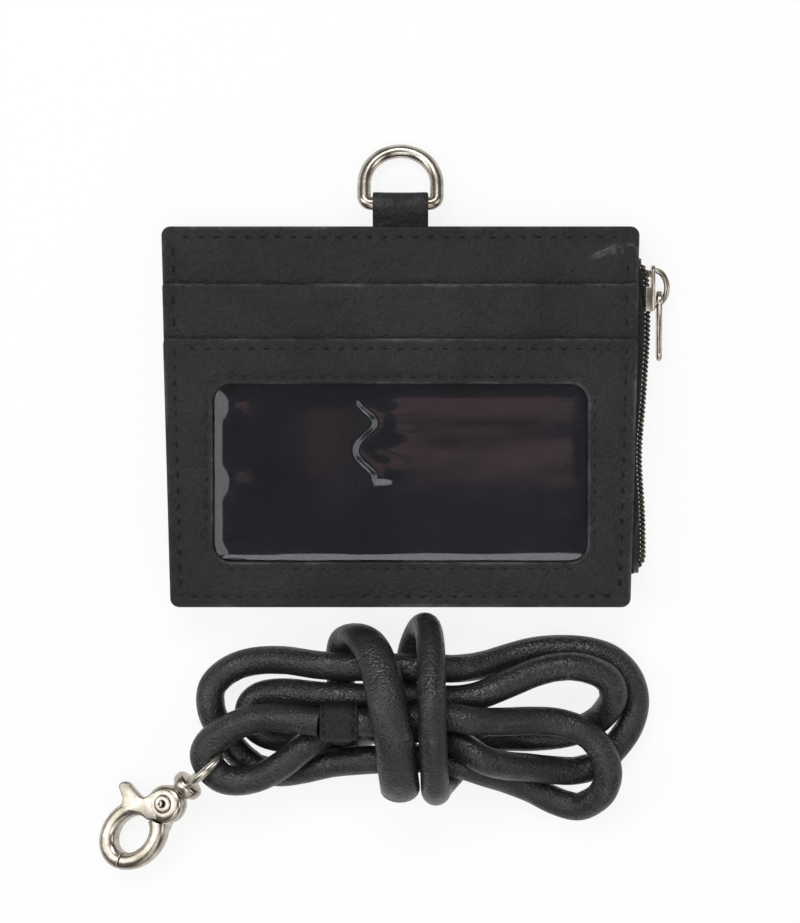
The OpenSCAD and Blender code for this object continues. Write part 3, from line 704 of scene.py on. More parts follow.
@dataclass(frozen=True)
class FilmFinish(Finish):
    """Clear soft vinyl sheet: a wet gloss over the dark pocket, with faint finger haze."""
    haze_mm: float = 9.0
    spread: float = 0.1

    def dress(self, nodes: Nodes) -> None:
        """Faint haze; the sheet's own waves make its highlights.

        Args:
            nodes: The material's nodes.
        """
        haze = nodes.speckle(nodes.coordinates(), self.haze_mm, 5.0, roughness=0.6)
        nodes.drive("Roughness", nodes.ranged(haze, (0.4, 1.0), (self.roughness, self.roughness + self.spread)))
        nodes.drive("Transmission Weight", 1.0)
        nodes.drive("IOR", 1.5)


@dataclass(frozen=True)
class TableFinish(Finish):
    """A matt white sweep: it looks near white to the eye and in mirrors, and keeps a soft shadow."""
    white_share: float = 0.86

    def dress(self, nodes: Nodes) -> None:
        """Mixes in plain white for what is seen, mirrored or seen through glass.

        Args:
            nodes: The material's nodes.
        """
        path = add(nodes.tree, "LightPath").outputs
        seen = nodes.maths("MAXIMUM", path["Is Camera Ray"], path["Is Glossy Ray"])
        seen = nodes.maths("MAXIMUM", seen, path["Is Transmission Ray"])
        share = nodes.maths("MULTIPLY", seen, self.white_share)
        white = add(nodes.tree, "Emission", {"Color": (1.0, 1.0, 1.0, 1.0), "Strength": 1.0})
        mixed = add(nodes.tree, "MixShader", links={0: share, 1: nodes.shader.outputs["BSDF"],
                                                    2: white.outputs["Emission"]})
        nodes.tree.links.new(mixed.outputs["Shader"], nodes.output.inputs["Surface"])


@dataclass(frozen=True)
class Finishes:
    """The finishes of the wallet, each made once."""
    hide: bpy.types.Material
    rolled: bpy.types.Material
    thread: bpy.types.Material
    tape: bpy.types.Material
    coil: bpy.types.Material
    nickel: bpy.types.Material
    film: bpy.types.Material


def make_finishes() -> Finishes:
    """All finishes of the object.

    Returns:
        Each finish, made once.
    """
    return Finishes(
        hide=CowhideFinish("black cowhide", "#131315", 0.4).material(),
        rolled=RolledHideFinish("black rolled lambskin", "#151517", 0.31).material(),
        thread=ThreadFinish("waxed black thread", "#040405", 0.6).material(),
        tape=TapeFinish("woven black tape", "#141416", 0.85).material(),
        coil=CoilFinish("nylon coil", "#1c1916", 0.3).material(),
        nickel=NickelFinish("handled nickel plate", "#c9c2b7", 0.2).material(),
        film=FilmFinish("clear vinyl", "#d8d8e4", 0.04).material())


@dataclass
class Assembly:
    """What the sub-assemblies share: their finishes, and how a piece of nickel is made."""
    finishes: Finishes

    def metal(self, name: str, bm: Mesh, body: str, node: str, smooth_angle: float = 35.0) -> None:
        """Makes a nickel piece of a mesh, in the place of a CAD node."""
        piece(name, bm, self.finishes.nickel, body, [node], smooth_angle)

    @staticmethod
    def dress_node(node: str, material: bpy.types.Material) -> None:
        """Gives a CAD node a finish.

        Args:
            node: The node's name.
            material: The finish.
        """
        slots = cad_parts[node].data.materials
        if slots:
            for i in range(len(slots)):
                slots[i] = material
        else:
            slots.append(material)


@dataclass
class Studio:
    """The camera over the table, a soft key light from beyond the wallet's top edge, fill, and a white table."""
    distance: float = 0.68
    lean: float = math.radians(3.0)
    aim: Pair = (-0.0001, -0.0103)
    sensor_mm: float = 36.0
    lens_mm: float = 137.4
    table_size: float = 4.0
    table_below: float = 0.0002
    world_level: float = 0.13
    # name, place and size in metres, and power, of the lamps that face the wallet
    lamps: tuple = (
        ("key", (-0.1, 0.62, 0.85), (0.8, 0.35), 5.2), ("fill_left", (-0.85, 0.05, 0.6), (0.5, 0.7), 2.5),
        ("fill_right", (0.85, -0.1, 0.65), (0.5, 0.7), 2.1), ("low_front", (0.1, -0.8, 0.5), (0.8, 0.55), 1.2),
        ("panel_left", (-0.5, 0.0, 0.9), (0.5, 0.6), 1.5), ("panel_front", (0.0, -0.43, 0.9), (0.6, 0.4), 1.7))
    shelf_z: float = 1.05
    shelf_colour: Point = (1.0, 0.58, 0.5)
    # place, width and height in metres, and power, of the warm lamps that face straight down
    shelves: tuple = ((0.045, 0.0114, 0.12, 0.097, 0.014), (0.045, -0.0616, 0.12, 0.0214, 0.0036),
                      (-0.042, -0.047, 0.022, 0.05, 0.0008))

    def build(self) -> None:
        """Makes the camera, the lamps, the world and the table."""
        self.camera()
        for name, place, size, watts in self.lamps:
            self.lamp(name, Vector(place), size, watts)
        for x, y, wide, high, watts in self.shelves:
            shelf = self.lamp("warm_shelf", Vector((x, y, self.shelf_z)), (wide, high), watts, self.shelf_colour)
            shelf.rotation_euler = (0.0, 0.0, 0.0)
        self.world()
        self.table()
        bpy.context.scene.view_settings.view_transform = "Standard"

    def camera(self) -> None:
        """A camera that looks down from the photograph's place."""
        data = bpy.data.cameras.new("camera")
        data.sensor_fit = "HORIZONTAL"
        data.sensor_width = self.sensor_mm
        data.lens = self.lens_mm
        eye = placed("camera", data)
        up = Vector((0.0, math.sin(self.lean), math.cos(self.lean)))
        eye.location = Vector((*self.aim, 0.0)) + self.distance * up
        eye.rotation_euler = (-self.lean, 0.0, 0.0)
        bpy.context.scene.camera = eye

    def lamp(self, name: str, place: Vector, size: Pair, watts: float,
             colour: Point = (1.0, 1.0, 1.0)) -> Thing:
        """An oblong soft light that faces the wallet.

        Args:
            name: The lamp's name.
            place: Where it hangs, in metres.
            size: Its width and height, in metres.
            watts: Its power.
            colour: Its linear colour.

        Returns:
            The lamp's object.
        """
        data = bpy.data.lights.new(name, "AREA")
        data.color = colour
        data.shape = "RECTANGLE"
        data.size, data.size_y = size
        data.energy = watts
        lamp = placed(name, data)
        lamp.location = place
        lamp.rotation_euler = (-place).to_track_quat("-Z", "Y").to_euler()
        return lamp

    def world(self) -> None:
        """An even grey fill from all round."""
        world = bpy.data.worlds.new("studio")
        bpy.context.scene.world = world
        world.use_nodes = True
        tree = world.node_tree
        tree.nodes.clear()
        sky = add(tree, "Background", {"Color": (1.0, 1.0, 1.0, 1.0), "Strength": self.world_level})
        add(tree, "OutputWorld", links={"Surface": sky.outputs["Background"]})

    def table(self) -> None:
        """A white matt table top."""
        bm = bmesh.new()
        bmesh.ops.create_grid(bm, x_segments=1, y_segments=1, size=self.table_size / 2,
                              matrix=Matrix.Translation((0.0, 0.0, -self.table_below)))
        mesh = meshed("table", bm)
        mesh.materials.append(TableFinish("matt white table", "#fcfcfc", 0.9).material())
        placed("table", mesh)


def chain_x(y: float) -> float:
    """Where the zip's chain runs, in millimetres: it wanders a little, and its ends turn in under the leather."""
    turned_in = 0.19 * max(0.0, abs(y) - CHAIN_STRAIGHT) ** 2
    return CHAIN_X + 0.8 * bell(y - 21.0, 12.0) - 0.9 * bell(y + 9.0, 10.0) - turned_in


@dataclass
class Squeeze:
    """A stretch of cord that is drawn tight: its middle, reach and widths as shares, and how far it is tucked in."""
    middle: float
    reach: float
    wider: float
    flatter: float
    tuck_mm: float = 0.0

    def apply(self, offset: Vector, bend: Vector, share: float) -> Vector:
        """The skin's offset from the centre line once the cord is squeezed.

        Args:
            offset: The offset before.
            bend: How the cord turns here.
            share: Share of the cord's length.

        Returns:
            The new offset.
        """
        weight = smooth_step(1.6 - 1.6 * abs(share - self.middle) / self.reach)
        wide, flat = 1 + (self.wider - 1) * weight, 1 + (self.flatter - 1) * weight
        squeezed = Vector((offset.x * wide, offset.y * flat, offset.z * flat))
        return squeezed + bend.normalized() * (self.tuck_mm * weight * MM)


@dataclass
class Lanyard(Assembly):
    """A lanyard of rolled leather cord: tied up in a hank, with a short loop for the clasp and a sleeve."""
    body: str = "lanyard"
    cord_r: float = 3.12
    rings_per_mm: float = 1.0
    sides: int = 20
    seam_deep: float = 0.16
    seam_wide: float = 0.35
    crease_deep: float = 0.16
    crease_mm: float = 2.6
    lump_deep: float = 0.1
    lump_mm: float = 7.0
    seam_at: float = 0.75
    seam_wander: float = 0.2
    seam_wander_mm: float = 90.0
    bend_rings: int = 3
    keeper_l: float = 8.4
    keeper_wall: float = 1.0
    keeper_seam: float = 0.8
    keeper_square: float = 0.72
    neck_route: Sequence[Point] = field(default_factory=lambda: NECK_ROUTE)
    hanger_route: Sequence[Point] = field(default_factory=lambda: HANGER_ROUTE)

    def build(self) -> None:
        """Makes both cords, the sleeve and its stitches."""
        sleeve, thread = self.keeper(), self.keeper_stitches()
        tight = Squeeze(0.936, 0.062, 1.42, 0.86)
        self.cord("neck_cord_rolled", "neck_cord", self.neck_route, (tight,), [sleeve, thread])
        tucked = Squeeze(0.44, 0.3, 1.1, 1.1, 1.3)
        self.cord("hanger_loop_rolled", "hanger_loop", self.hanger_route, (tucked,),
                  ["swivel_eye_wire", "swivel_collar_turned", "clasp_body_cast", "gate_lever_cast", "gate_rivet",
                   "gate_spring"])

    def cord(self, name: str, node: str, route: Sequence[Point],
             squeezes: Sequence[Squeeze], with_pieces: list) -> None:
        """One rolled cord with its seam, creases at the bends and soft lumps.

        Args:
            name: The piece's name.
            node: The CAD node that it stands for.
            route: Points of its centre line, in millimetres.
            squeezes: Where it is drawn flat.
            with_pieces: What is fixed to it; not used.
        """
        points = [vec(*p) for p in route]
        rough = curve_through(points, 400)
        length = sum((b - a).length for a, b in zip(rough, rough[1:]))
        path = curve_through(points, int(length / MM * self.rings_per_mm))
        ways = headings(path)
        sideways = carried(ways, UP if abs(ways[0].z) < 0.9 else Vector((1.0, 0.0, 0.0)))
        last = len(path) - 1
        rows = []
        for k, centre in enumerate(path):
            side, other, share = sideways[k], ways[k].cross(sideways[k]), k / last
            bend = ways[min(k + self.bend_rings, last)] - ways[max(k - self.bend_rings, 0)]
            rows.append([centre + self.skin(math.tau * s / self.sides, k, bend, side, other, share, squeezes)
                         for s in range(self.sides)])
        rows.insert(0, [path[0] + (p - path[0]) * POINT for p in rows[0]])
        rows.append([path[-1] + (p - path[-1]) * POINT for p in rows[-1]])
        bm = loft(rows, across=True)
        bmesh.ops.remove_doubles(bm, verts=bm.verts, dist=5e-6)
        cord = piece(name, bm, self.finishes.rolled, self.body, [node], 80.0)
        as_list(with_pieces)

    def skin(self, angle: float, k: int, bend: Vector, side: Vector, other: Vector, share: float,
             squeezes: Sequence[Squeeze]) -> Vector:
        """The cord's surface, from its centre line: seam, creases on the inside of bends, lumps and flats.

        Args:
            angle: Angle round the cord, in radians.
            k: The ring's number.
            bend: How the cord turns here.
            side: The ring's first direction.
            other: The ring's second direction.
            share: Share of the cord's length.
            squeezes: Where the cord is drawn flat.

        Returns:
            The offset from the centre line, in metres.
        """
        out = math.cos(angle) * side + math.sin(angle) * other
        run = k / self.rings_per_mm
        inward = max(0.0, out.dot(bend))
        crease = ripple(run, 3 * math.cos(angle), 3 * math.sin(angle), self.crease_mm)
        lump = ripple(run, 4 * math.cos(angle), 4 * math.sin(angle), self.lump_mm)
        seam_angle = math.pi * (self.seam_at + self.seam_wander * ripple(run, 0.0, 0.0, self.seam_wander_mm))
        off_seam = (angle - seam_angle) * self.cord_r
        seam = -self.seam_deep * bell(off_seam, self.seam_wide) + 0.5 * self.seam_deep * bell(
            off_seam - 2.4 * self.seam_wide, self.seam_wide)
        offset = (self.cord_r + self.crease_deep * crease * min(1.0, 2.2 * inward)
                  + self.lump_deep * lump + seam) * MM * out
        for squeeze in squeezes:
            offset = squeeze.apply(offset, bend, share)
        return offset

    def keeper(self) -> Thing:
        """The sleeve that binds the cord ends: a rounded band over a stack of leather.

        Returns:
            The new piece.
        """
        x, y, z = self.neck_route[0]
        low = self.neck_route[-1]
        half = self.cord_r + self.keeper_wall
        end = self.hanger_route[-1]
        turn = math.radians(40)
        side = Vector((-math.sin(turn), math.cos(turn)))
        face = Vector((end[0], end[1]))
        a, b = face + (half - self.keeper_wall / 2) * side, face - (half - self.keeper_wall) * side
        middle = [(a.x, a.y), (b.x, b.y), (x - self.keeper_l / 4, b.y), (x, y - half + self.keeper_wall),
                  (x, low[1]), (x - self.keeper_l, low[1])]
        parts = [self.sleeve(x, y, z, half),
                 self.block(middle, end[2] - self.cord_r - 0.1, z - self.cord_r + 0.2, 0.7),
                 self.block([(low[0] - 2.9, low[1] - 2.4), (low[0] + 2.9, low[1] - 2.4), (low[0] + 2.9, low[1]),
                             (low[0] - 2.9, low[1])], 0.3, end[2] - self.cord_r, 0.5)]
        return piece("cord_keeper_sleeve", joined(parts), self.finishes.hide, self.body, ["cord_keeper"],
                     60.0)

    def sleeve(self, x: float, y: float, z: float, half: float) -> Mesh:
        """The rounded band round the upper cords, with a dip where each row of stitches pulls it in.

        Args:
            x: Where it starts, in millimetres; it runs to the left.
            y: Its middle.
            z: Its middle's height.
            half: Half its width.

        Returns:
            A new bmesh.
        """
        rows, steps, sides = [], 28, 32
        for k in range(steps + 1):
            t = k / steps * self.keeper_l
            from_end = min(t, self.keeper_l - t)
            grow = -0.35 * bell(from_end - self.keeper_seam, 0.45) + 0.12 - 0.4 * bell(from_end, 0.25)
            wide, high = half + grow, self.cord_r + 0.15 + grow
            rows.append([vec(x - t, y + wide * squarer(c, self.keeper_square),
                             z + high * squarer(s, self.keeper_square)) for c, s in circle(sides)])
        core = [vec(x, y, z), vec(x - self.keeper_l, y, z)]
        rows = [[core[0]] * sides, *rows, [core[1]] * sides]
        return loft(rows, across=True)

    @staticmethod
    def block(corners: Sequence[Pair], z0: float, z1: float, rounding: float) -> Mesh:
        """A prism on a flat polygon, from one height to another; sizes in millimetres."""
        return prism([vec(x, y, z0) for x, y in corners], vec(0.0, 0.0, z1 - z0), rounding)

    def keeper_stitches(self) -> Thing:
        """Two short rows of thread across the sleeve.

        Returns:
            The new piece.
        """
        x, y, z = self.neck_route[0]
        seam = Seam(pitch=1.9, thread=0.55)
        lines = [[vec(px, y - 3.0, z + self.cord_r - 0.02), vec(px, y + 3.0, z + self.cord_r - 0.02)]
                 for px in (x - self.keeper_seam, x - self.keeper_l + self.keeper_seam)]
        return piece("keeper_thread", joined(seam.stitches(a, b) for a, b in lines), self.finishes.thread,
                     self.body, ["keeper_stitching"])


@dataclass
class Seam:
    """A straight row of stitches."""
    pitch: float = 3.3
    thread: float = 0.5
    share: float = 0.46
    sunk: float = 0.1
    wobble: float = 0.09
    wobble_size: float = 0.004

    def stitches(self, start: Vector, end: Vector) -> Mesh:
        """Stitches from start to end, each a small stretched ball of thread.

        Args:
            start: Start of the row, on the leather.
            end: End of the row.

        Returns:
            A new bmesh.
        """
        way = end - start
        count = max(1, int(way.length / (self.pitch * MM)))
        step = way.length / count
        turn = way.to_track_quat("X", "Z").to_matrix().to_4x4()
        bm = bmesh.new()
        for i in range(count):
            middle = start + way * ((i + 0.5) / count) - self.sunk * MM * UP
            astray = self.wobble * ripple(middle.x, middle.y, 0.0, self.wobble_size)
            size = Matrix.Diagonal((step * self.share / 2, self.thread * MM / 2, self.thread * MM / 2, 1.0))
            place = Matrix.Translation(middle) @ turn @ Matrix.Rotation(astray, 4, "Z") @ size
            bmesh.ops.create_uvsphere(bm, u_segments=6, v_segments=6, radius=1.0, matrix=place)
        return bm


class Side(Enum):
    """The sides of the wallet."""
    LEFT = -1
    RIGHT = 1


@dataclass
class Wallet(Assembly):
    """The leather pouch, its two front pockets, the clear window and all its stitching."""
    body: str = "wallet"
    top_w: float = 105.0
    bottom_w: float = 101.0
    height: float = 83.5
    corner_r: float = 2.0
    card_drop: float = 12.5
    window_drop: float = 24.5
    leather_t: float = 1.0
    back_t: float = 1.1
    rim_w: float = 4.0
    slope_w: float = 5.0
    pouch_depth: float = 4.9
    rim_z: float = 6.0
    front_z: float = 7.0
    card_z: float = 8.85
    film_z: float = 10.45
    window_z: float = 10.75
    film_t: float = 0.3
    window_w: float = 82.0
    window_h: float = 39.0
    window_rise: float = 10.0
    window_r: float = 4.0
    film_lap: float = 2.6
    frame_flat: float = 3.4
    frame_insets: int = 14
    frame_steps: int = 6
    film_rise: float = 0.34
    bulge_high: float = 0.24
    bulge_pitch: float = 17.1
    fold_high: float = 0.3
    fold_pitch: float = 12.0
    fold_sway: float = 2.1
    edge_r: float = 0.42
    edge_fade: float = 0.8
    lightening: float = 0.55
    # strength of the painted glints, a speckled lightening along the crumple that stands in for its highlights
    crumple_glint: float = 0.9
    crumple_high: float = 0.4
    inset: float = 2.4
    window_seam: float = 1.5
    edge_seam: float = 2.3
    pitch: float = 3.3
    groove_deep: float = 0.22
    groove_wide: float = 0.75
    seam_end: float = 1.2
    thread_lift: float = 0.14
    step: float = 0.7
    flap: float = 1.9
    chain_l: float = 65.0
    tab_w: float = 12.2
    tab_rise: float = 7.5
    tab_wire: float = 3.0
    tab_ply: float = 0.9
    bar_clearance: float = 0.06

    @property
    def half_h(self) -> float:
        """Half the wallet's height."""
        return self.height / 2

    @property
    def window_y(self) -> float:
        """Height of the window's middle."""
        return -self.half_h + self.window_rise + self.window_h / 2

    def half_w(self, y: float) -> float:
        """Half the wallet's width at a height."""
        return self.bottom_w / 2 + (y + self.half_h) * (self.top_w - self.bottom_w) / 2 / self.height

    def build(self) -> None:
        """Makes every sheet from the back to the front, then the stitches."""
        self.back()
        self.pouch_front()
        self.front_wall()
        self.card_pocket()
        self.window_pocket()
        self.film()
        self.tab()
        self.stitching()

    def outline(self, y1: float, radii: Pair, inset: float, bulge: Height | None = None) -> Row:
        """Points round the wallet's outline at a distance inside its edge.

        Args:
            y1: Height of the upper edge.
            radii: Corner radii at the bottom and at the top.
            inset: Distance inside the edge, in millimetres.
            bulge: Extra reach to the right, by height and inset.

        Returns:
            Points from the lower left corner round, in millimetres, at z = 0.
        """
        lo, hi = -self.half_h + inset, y1 - inset
        low_r, high_r = (max(r - inset, 0.25) for r in radii)
        corners = [(-1, lo, low_r, 180), (1, lo, low_r, 270), (1, hi, high_r, 0), (-1, hi, high_r, 90)]
        arcs = []
        for sign, y, r, start in corners:
            cy = y + r if y == lo else y - r
            cx = sign * (self.half_w(cy) - inset - r)
            arcs.append([Vector((*p, 0.0)) for p in arc(cx, cy, r, start, start + 90, 8)])
        counts = [int(self.bottom_w / self.step), int((y1 + self.half_h) / self.step)]
        out: Row = []
        for k, corner in enumerate(arcs):
            out += corner
            a, b, n = corner[-1], arcs[(k + 1) % 4][0], counts[k % 2]
            out += [a + (b - a) * (i / n) for i in range(1, n)]
        if bulge:
            out = [Vector((p.x + bulge(p.y, inset), p.y, 0.0)) if p.x > 0.8 * self.half_w(p.y) - inset else p
                   for p in out]
        return out

    def pucker(self, off: float, run: float) -> float:
        """How much stitches pull the leather down, off their line and along it, as a share of the groove."""
        return bell(off, self.groove_wide) * (0.75 + 0.25 * math.cos(math.tau * run / self.pitch))

    def seams(self, x: float, y: float, y1: float) -> float:
        """How deep the stitch line inside the edge pulls the leather down.

        Args:
            x: First coordinate, in millimetres.
            y: Second coordinate.
            y1: Height of the upper edge.

        Returns:
            A height in millimetres, below 0.
        """
        dips = [self.pucker(self.half_w(y) - self.inset - abs(x), y), self.pucker(y + self.half_h - self.inset, x)]
        if y1 >= self.half_h:
            dips.append(self.pucker(y1 - self.inset - y, x))
        return -self.groove_deep * max(dips)

    @staticmethod
    def swell(x: float, y: float, seed: float) -> float:
        """Slow unevenness of a leather sheet, in millimetres."""
        return 0.16 * ripple(x, y, seed, 24.0) + 0.05 * ripple(x, y, seed + 40, 6.0)

    @staticmethod
    def crumple(x: float, y: float) -> float:
        """The share of the crumple that runs into the rear sheet's upper right corner: it raises a ridge there and
        places the painted glints on it.
        """
        return bell(y - 36.2 - 0.25 * (x - 46.0), 1.6) * bell(x - 47.0, 7.0)

    def sheet_rows(self, y1: float, radii: Pair, z: float, t: float, insets: Sequence[float],
                   top: Height, bulge: Height | None = None) -> list[Row]:
        """Rings of a sheet, from its hidden underside out round the edge and over its top.

        Args:
            y1: Height of the upper edge.
            radii: Corner radii at the bottom and at the top.
            z: Height of the underside.
            t: Thickness.
            insets: Distances inside the edge of the rings on top, from the edge inwards.
            top: Extra height of the top surface.
            bulge: Extra reach to the right.

        Returns:
            Rows of points in metres.
        """
        def ring(inset: float) -> Row:
            """The outline at a distance inside the edge."""
            return self.outline(y1, radii, inset, bulge)

        rows = [lifted(ring(inset), z) for inset in (insets[-1], self.edge_r * 2, self.edge_r * 0.3)]
        rows += [lifted(ring(0.0), z + share * t) for share in (0.12, 0.55)]
        return rows + [self.on_top(ring(inset), z + t, inset, top) for inset in insets]

    def on_top(self, points: Row, z: float, inside: float, top: Height) -> Row:
        """Points on a sheet's top, which rounds off towards its edge.

        Args:
            points: Flat points, in millimetres.
            z: Height of the plain top.
            inside: Distance of the points from the edge.
            top: Extra height of the top surface.

        Returns:
            Points in metres.
        """
        drop, share = round_off(inside, self.edge_r), min(1.0, inside / self.edge_fade)
        return [vec(p.x, p.y, z - drop + top(p.x, p.y) * share) for p in points]

    EDGE_INSETS = (0.02, 0.08, 0.18, 0.3, 0.42, 0.7, 1.1, 1.5, 1.9, 2.2, 2.5, 2.8, 3.2, 3.7, 4.3, 5.0,
                   5.7, 6.4, 7.1, 7.8, 8.5, 9.2, 9.9, 10.6, 11.3, 12.0, 12.8, 13.7, 15.0)

    def mark_wear_and_glints(self, bm: Mesh, top_z: float, edges: Height) -> None:
        """Writes how much each point is lightened, as the attribute that the leather reads: real wear near free edges,
        plus painted glints along the crumple on the rear sheet.

        Args:
            bm: The sheet's mesh.
            top_z: Height of the sheet's top, in millimetres.
            edges: Distance to the nearest free edge at a point, in millimetres.
        """
        layer = bm.verts.layers.float.new("lightened")
        for vert in bm.verts:
            x, y, z = vert.co / MM
            near = bell(max(0.0, edges(x, y) - 0.25), 0.5)
            patchy = 0.7 + 0.6 * ripple(x, y, 5.0, 9.0)
            # painted glints: speckled lightening along the crumple, standing in for highlights on its ridge, on the
            # sheets that lie below the card pocket
            crumple_glints = self.crumple_glint * self.crumple(x, y) * (0.5 + ripple(x, y, 2.0, 1.1))
            pale_share = self.lightening * near * patchy + (crumple_glints if top_z < self.card_z else 0.0)
            vert[layer] = max(0.0, pale_share * smooth_step((z - top_z + 0.9) / 0.6))

    def edge_distance(self, y1: float) -> Height:
        """A function that gives the distance inside the outline whose upper edge is y1."""
        return lambda x, y: min(self.half_w(y) - abs(x), y1 - y, y + self.half_h)

    def leather(self, name: str, node: str, bm: Mesh, smooth_angle: float = 50.0) -> None:
        """Makes a piece of leather of a mesh, in the place of a CAD node."""
        piece(name, bm, self.finishes.hide, self.body, [node], smooth_angle)

    def sheet(self, y1: float, top_r: float, z: float, top: Height, edges: Height, thinner: float = 0.0,
              bulge: Height | None = None) -> Mesh:
        """A closed sheet of leather, with its edges rubbed.

        Args:
            y1: Height of the upper edge.
            top_r: Radius of the upper corners.
            z: Height of the underside.
            top: Extra height of the top surface.
            edges: Distance to the nearest free edge.
            thinner: How much thinner it is than the others.
            bulge: Extra reach to the right.

        Returns:
            A new bmesh.
        """
        rows = self.sheet_rows(y1, (self.corner_r, top_r), z, self.leather_t - thinner, self.EDGE_INSETS, top, bulge)
        bm = loft(rows, across=True, along=True)
        self.close_middle(bm, rows)
        self.mark_wear_and_glints(bm, z + self.leather_t, edges)
        return bm

    def front_wall(self) -> None:
        """The whole sheet behind the pockets, of which the top strip shows."""
        def top(x: float, y: float) -> float:
            """Height of the sheet's top over its plain level."""
            return (self.seams(x, y, self.half_h) + 0.6 * self.swell(x, y, self.front_z)
                    + self.crumple_high * self.crumple(x, y))

        self.leather("front_wall_leather", "front_wall", self.sheet(
            self.half_h, self.corner_r, self.front_z, top, self.edge_distance(self.half_h)))

    @staticmethod
    def close_middle(bm: Mesh, rows: Sequence[Row]) -> None:
        """Turns the wall between a sheet's two innermost rings into a filled top and bottom.

        Args:
            bm: The sheet's mesh.
            rows: Its rings, from one innermost ring to the other.
        """
        inner = {tuple(round(c, 7) for c in p) for p in rows[0]}
        outer = {tuple(round(c, 7) for c in p) for p in rows[-1]}

        def ring(vert: bmesh.types.BMVert) -> int:
            """Which of the two innermost rings a vertex is in: 1, 2, or 0 for none."""
            key = tuple(round(c, 7) for c in vert.co)
            return 1 if key in inner else 2 if key in outer else 0

        wall = [f for f in bm.faces if {ring(v) for v in f.verts} == {1, 2}]
        bmesh.ops.delete(bm, geom=wall, context="FACES_ONLY")
        close_holes(bm)

    def rim(self, z0: float, z1: float, y1: float) -> Mesh:
        """The sewn strip that holds two sheets apart on three sides.

        Args:
            z0: Height of its underside.
            z1: Height of its top.
            y1: Height where it stops at both sides.

        Returns:
            A new bmesh.
        """
        edge, inner = (self.outline(y1 + self.rim_w, (self.corner_r, self.corner_r), inset)
                       for inset in (0.06, self.rim_w - 0.2))
        keep = [i for i, p in enumerate(edge) if p.y < y1 - 0.6]
        start = next(i for i in keep if (i - 1) % len(edge) not in keep and edge[i].x < 0)
        rows = []
        for i in range(start, start + len(keep)):
            a, b = edge[i % len(edge)], inner[i % len(edge)]
            rows.append([vec(a.x, a.y, z0), vec(a.x, a.y, z1), vec(b.x, b.y, z1), vec(b.x, b.y, z0)])
        bm = loft(rows, across=True)
        close_holes(bm)
        bm.verts.layers.float.new("lightened")
        return bm

    def card_pocket(self) -> None:
        """The middle pocket: a sheet on its rim, of which the top strip shows."""
        y1 = self.half_h - self.card_drop

        def top(x: float, y: float) -> float:
            """Height of the sheet's top over its plain level."""
            lift = 0.25 * bell(y1 - y, 5.0) * (1 - (x / self.half_w(y)) ** 2)
            return self.seams(x, y, y1) + 0.7 * self.swell(x, y, self.card_z) + lift

        bm = self.sheet(y1, 0.8, self.card_z, top, self.edge_distance(y1))
        self.leather("card_pocket_leather", "card_pocket",
                     self.with_rim(bm, self.front_z + self.leather_t, self.card_z, y1))

    def with_rim(self, sheet: Mesh, z0: float, z1: float, y1: float) -> Mesh:
        """A sheet and the rim below it as one mesh."""
        return joined([sheet, self.rim(z0, z1 + 0.05, y1)])

    def window_outline(self, grow: float, like: Row) -> Row:
        """Points round the window that pair with the points of an outer ring.

        Args:
            grow: Distance outside the cut-out's edge.
            like: The outer ring.

        Returns:
            As many points as the ring has.
        """
        r = self.window_r + grow
        hx, hy = self.window_w / 2 + grow - r, self.window_h / 2 + grow - r
        out = []
        for p in like:
            lean = Vector((p.x / (self.half_w(p.y)), (p.y - self.window_y)
                           / (self.half_h - self.window_drop - self.window_y if p.y > self.window_y
                              else self.half_h + self.window_y)))
            reach = max(abs(lean.x), abs(lean.y), 1e-6)
            square = Vector((lean.x / reach * (hx + r), lean.y / reach * (hy + r)))
            core = Vector((min(max(square.x, -hx), hx), min(max(square.y, -hy), hy)))
            off = square - core
            spot = core + off.normalized() * r if off.length > 1e-6 else square
            out.append(Vector((spot.x, spot.y + self.window_y, 0.0)))
        return out

    def window_distance(self, x: float, y: float) -> float:
        """Distance outside the window's cut-out.

        Args:
            x: First coordinate, in millimetres.
            y: Second coordinate.

        Returns:
            A distance in millimetres, below 0 inside the cut-out.
        """
        hx, hy = self.window_w / 2 - self.window_r, self.window_h / 2 - self.window_r
        dx, dy = max(abs(x) - hx, 0.0), max(abs(y - self.window_y) - hy, 0.0)
        return math.hypot(dx, dy) - self.window_r

    def window_pocket(self) -> None:
        """The front pocket: a frame of leather round the window."""
        y1 = self.half_h - self.window_drop
        z, t = self.window_z, self.leather_t

        def top(x: float, y: float) -> float:
            """Height of the frame's top over its plain level.

            Args:
                x: First coordinate, in millimetres.
                y: Second coordinate.

            Returns:
                A height in millimetres.
            """
            around = self.window_distance(x, y) - self.window_seam
            window = self.pucker(around, x if abs(x) < self.window_w / 2 else y)
            dip = -self.groove_deep * max(window, self.pucker(y1 - self.edge_seam - y, x))
            puff = 0.12 * bell(abs(around - 2.2) - 0.6, 1.4)
            return min(dip, self.seams(x, y, y1)) + puff + 0.5 * self.swell(x, y, z)

        radii = (self.corner_r, 1.2)
        rows = self.sheet_rows(y1, radii, z, t, self.EDGE_INSETS[:self.frame_insets], top)[1:]
        last = self.outline(y1, radii, self.EDGE_INSETS[self.frame_insets - 1])
        inner = self.window_outline(self.frame_flat, last)
        for k in range(1, self.frame_steps):
            between = (a + (b - a) * (k / self.frame_steps) for a, b in zip(last, inner))
            rows.append([vec(p.x, p.y, z + t + top(p.x, p.y)) for p in between])
        rows += [self.on_top(self.window_outline(grow, last), z + t, grow, top)
                 for grow in (self.frame_flat, 2.8, 2.2, 1.8, 1.5, 1.2, 0.9, 0.6, 0.4, 0.25, 0.12, 0.04, 0.0)]
        rows += [lifted(self.window_outline(grow, last), z) for grow in (0.0, 0.3, self.frame_flat)]
        bm = loft(rows, across=True, along=True)
        self.mark_wear_and_glints(bm, z + t, lambda x, y: min(self.edge_distance(y1)(x, y), abs(self.window_distance(x, y))))
        self.leather("window_pocket_leather", "window_pocket", self.with_rim(bm, self.card_z + t, z, y1))

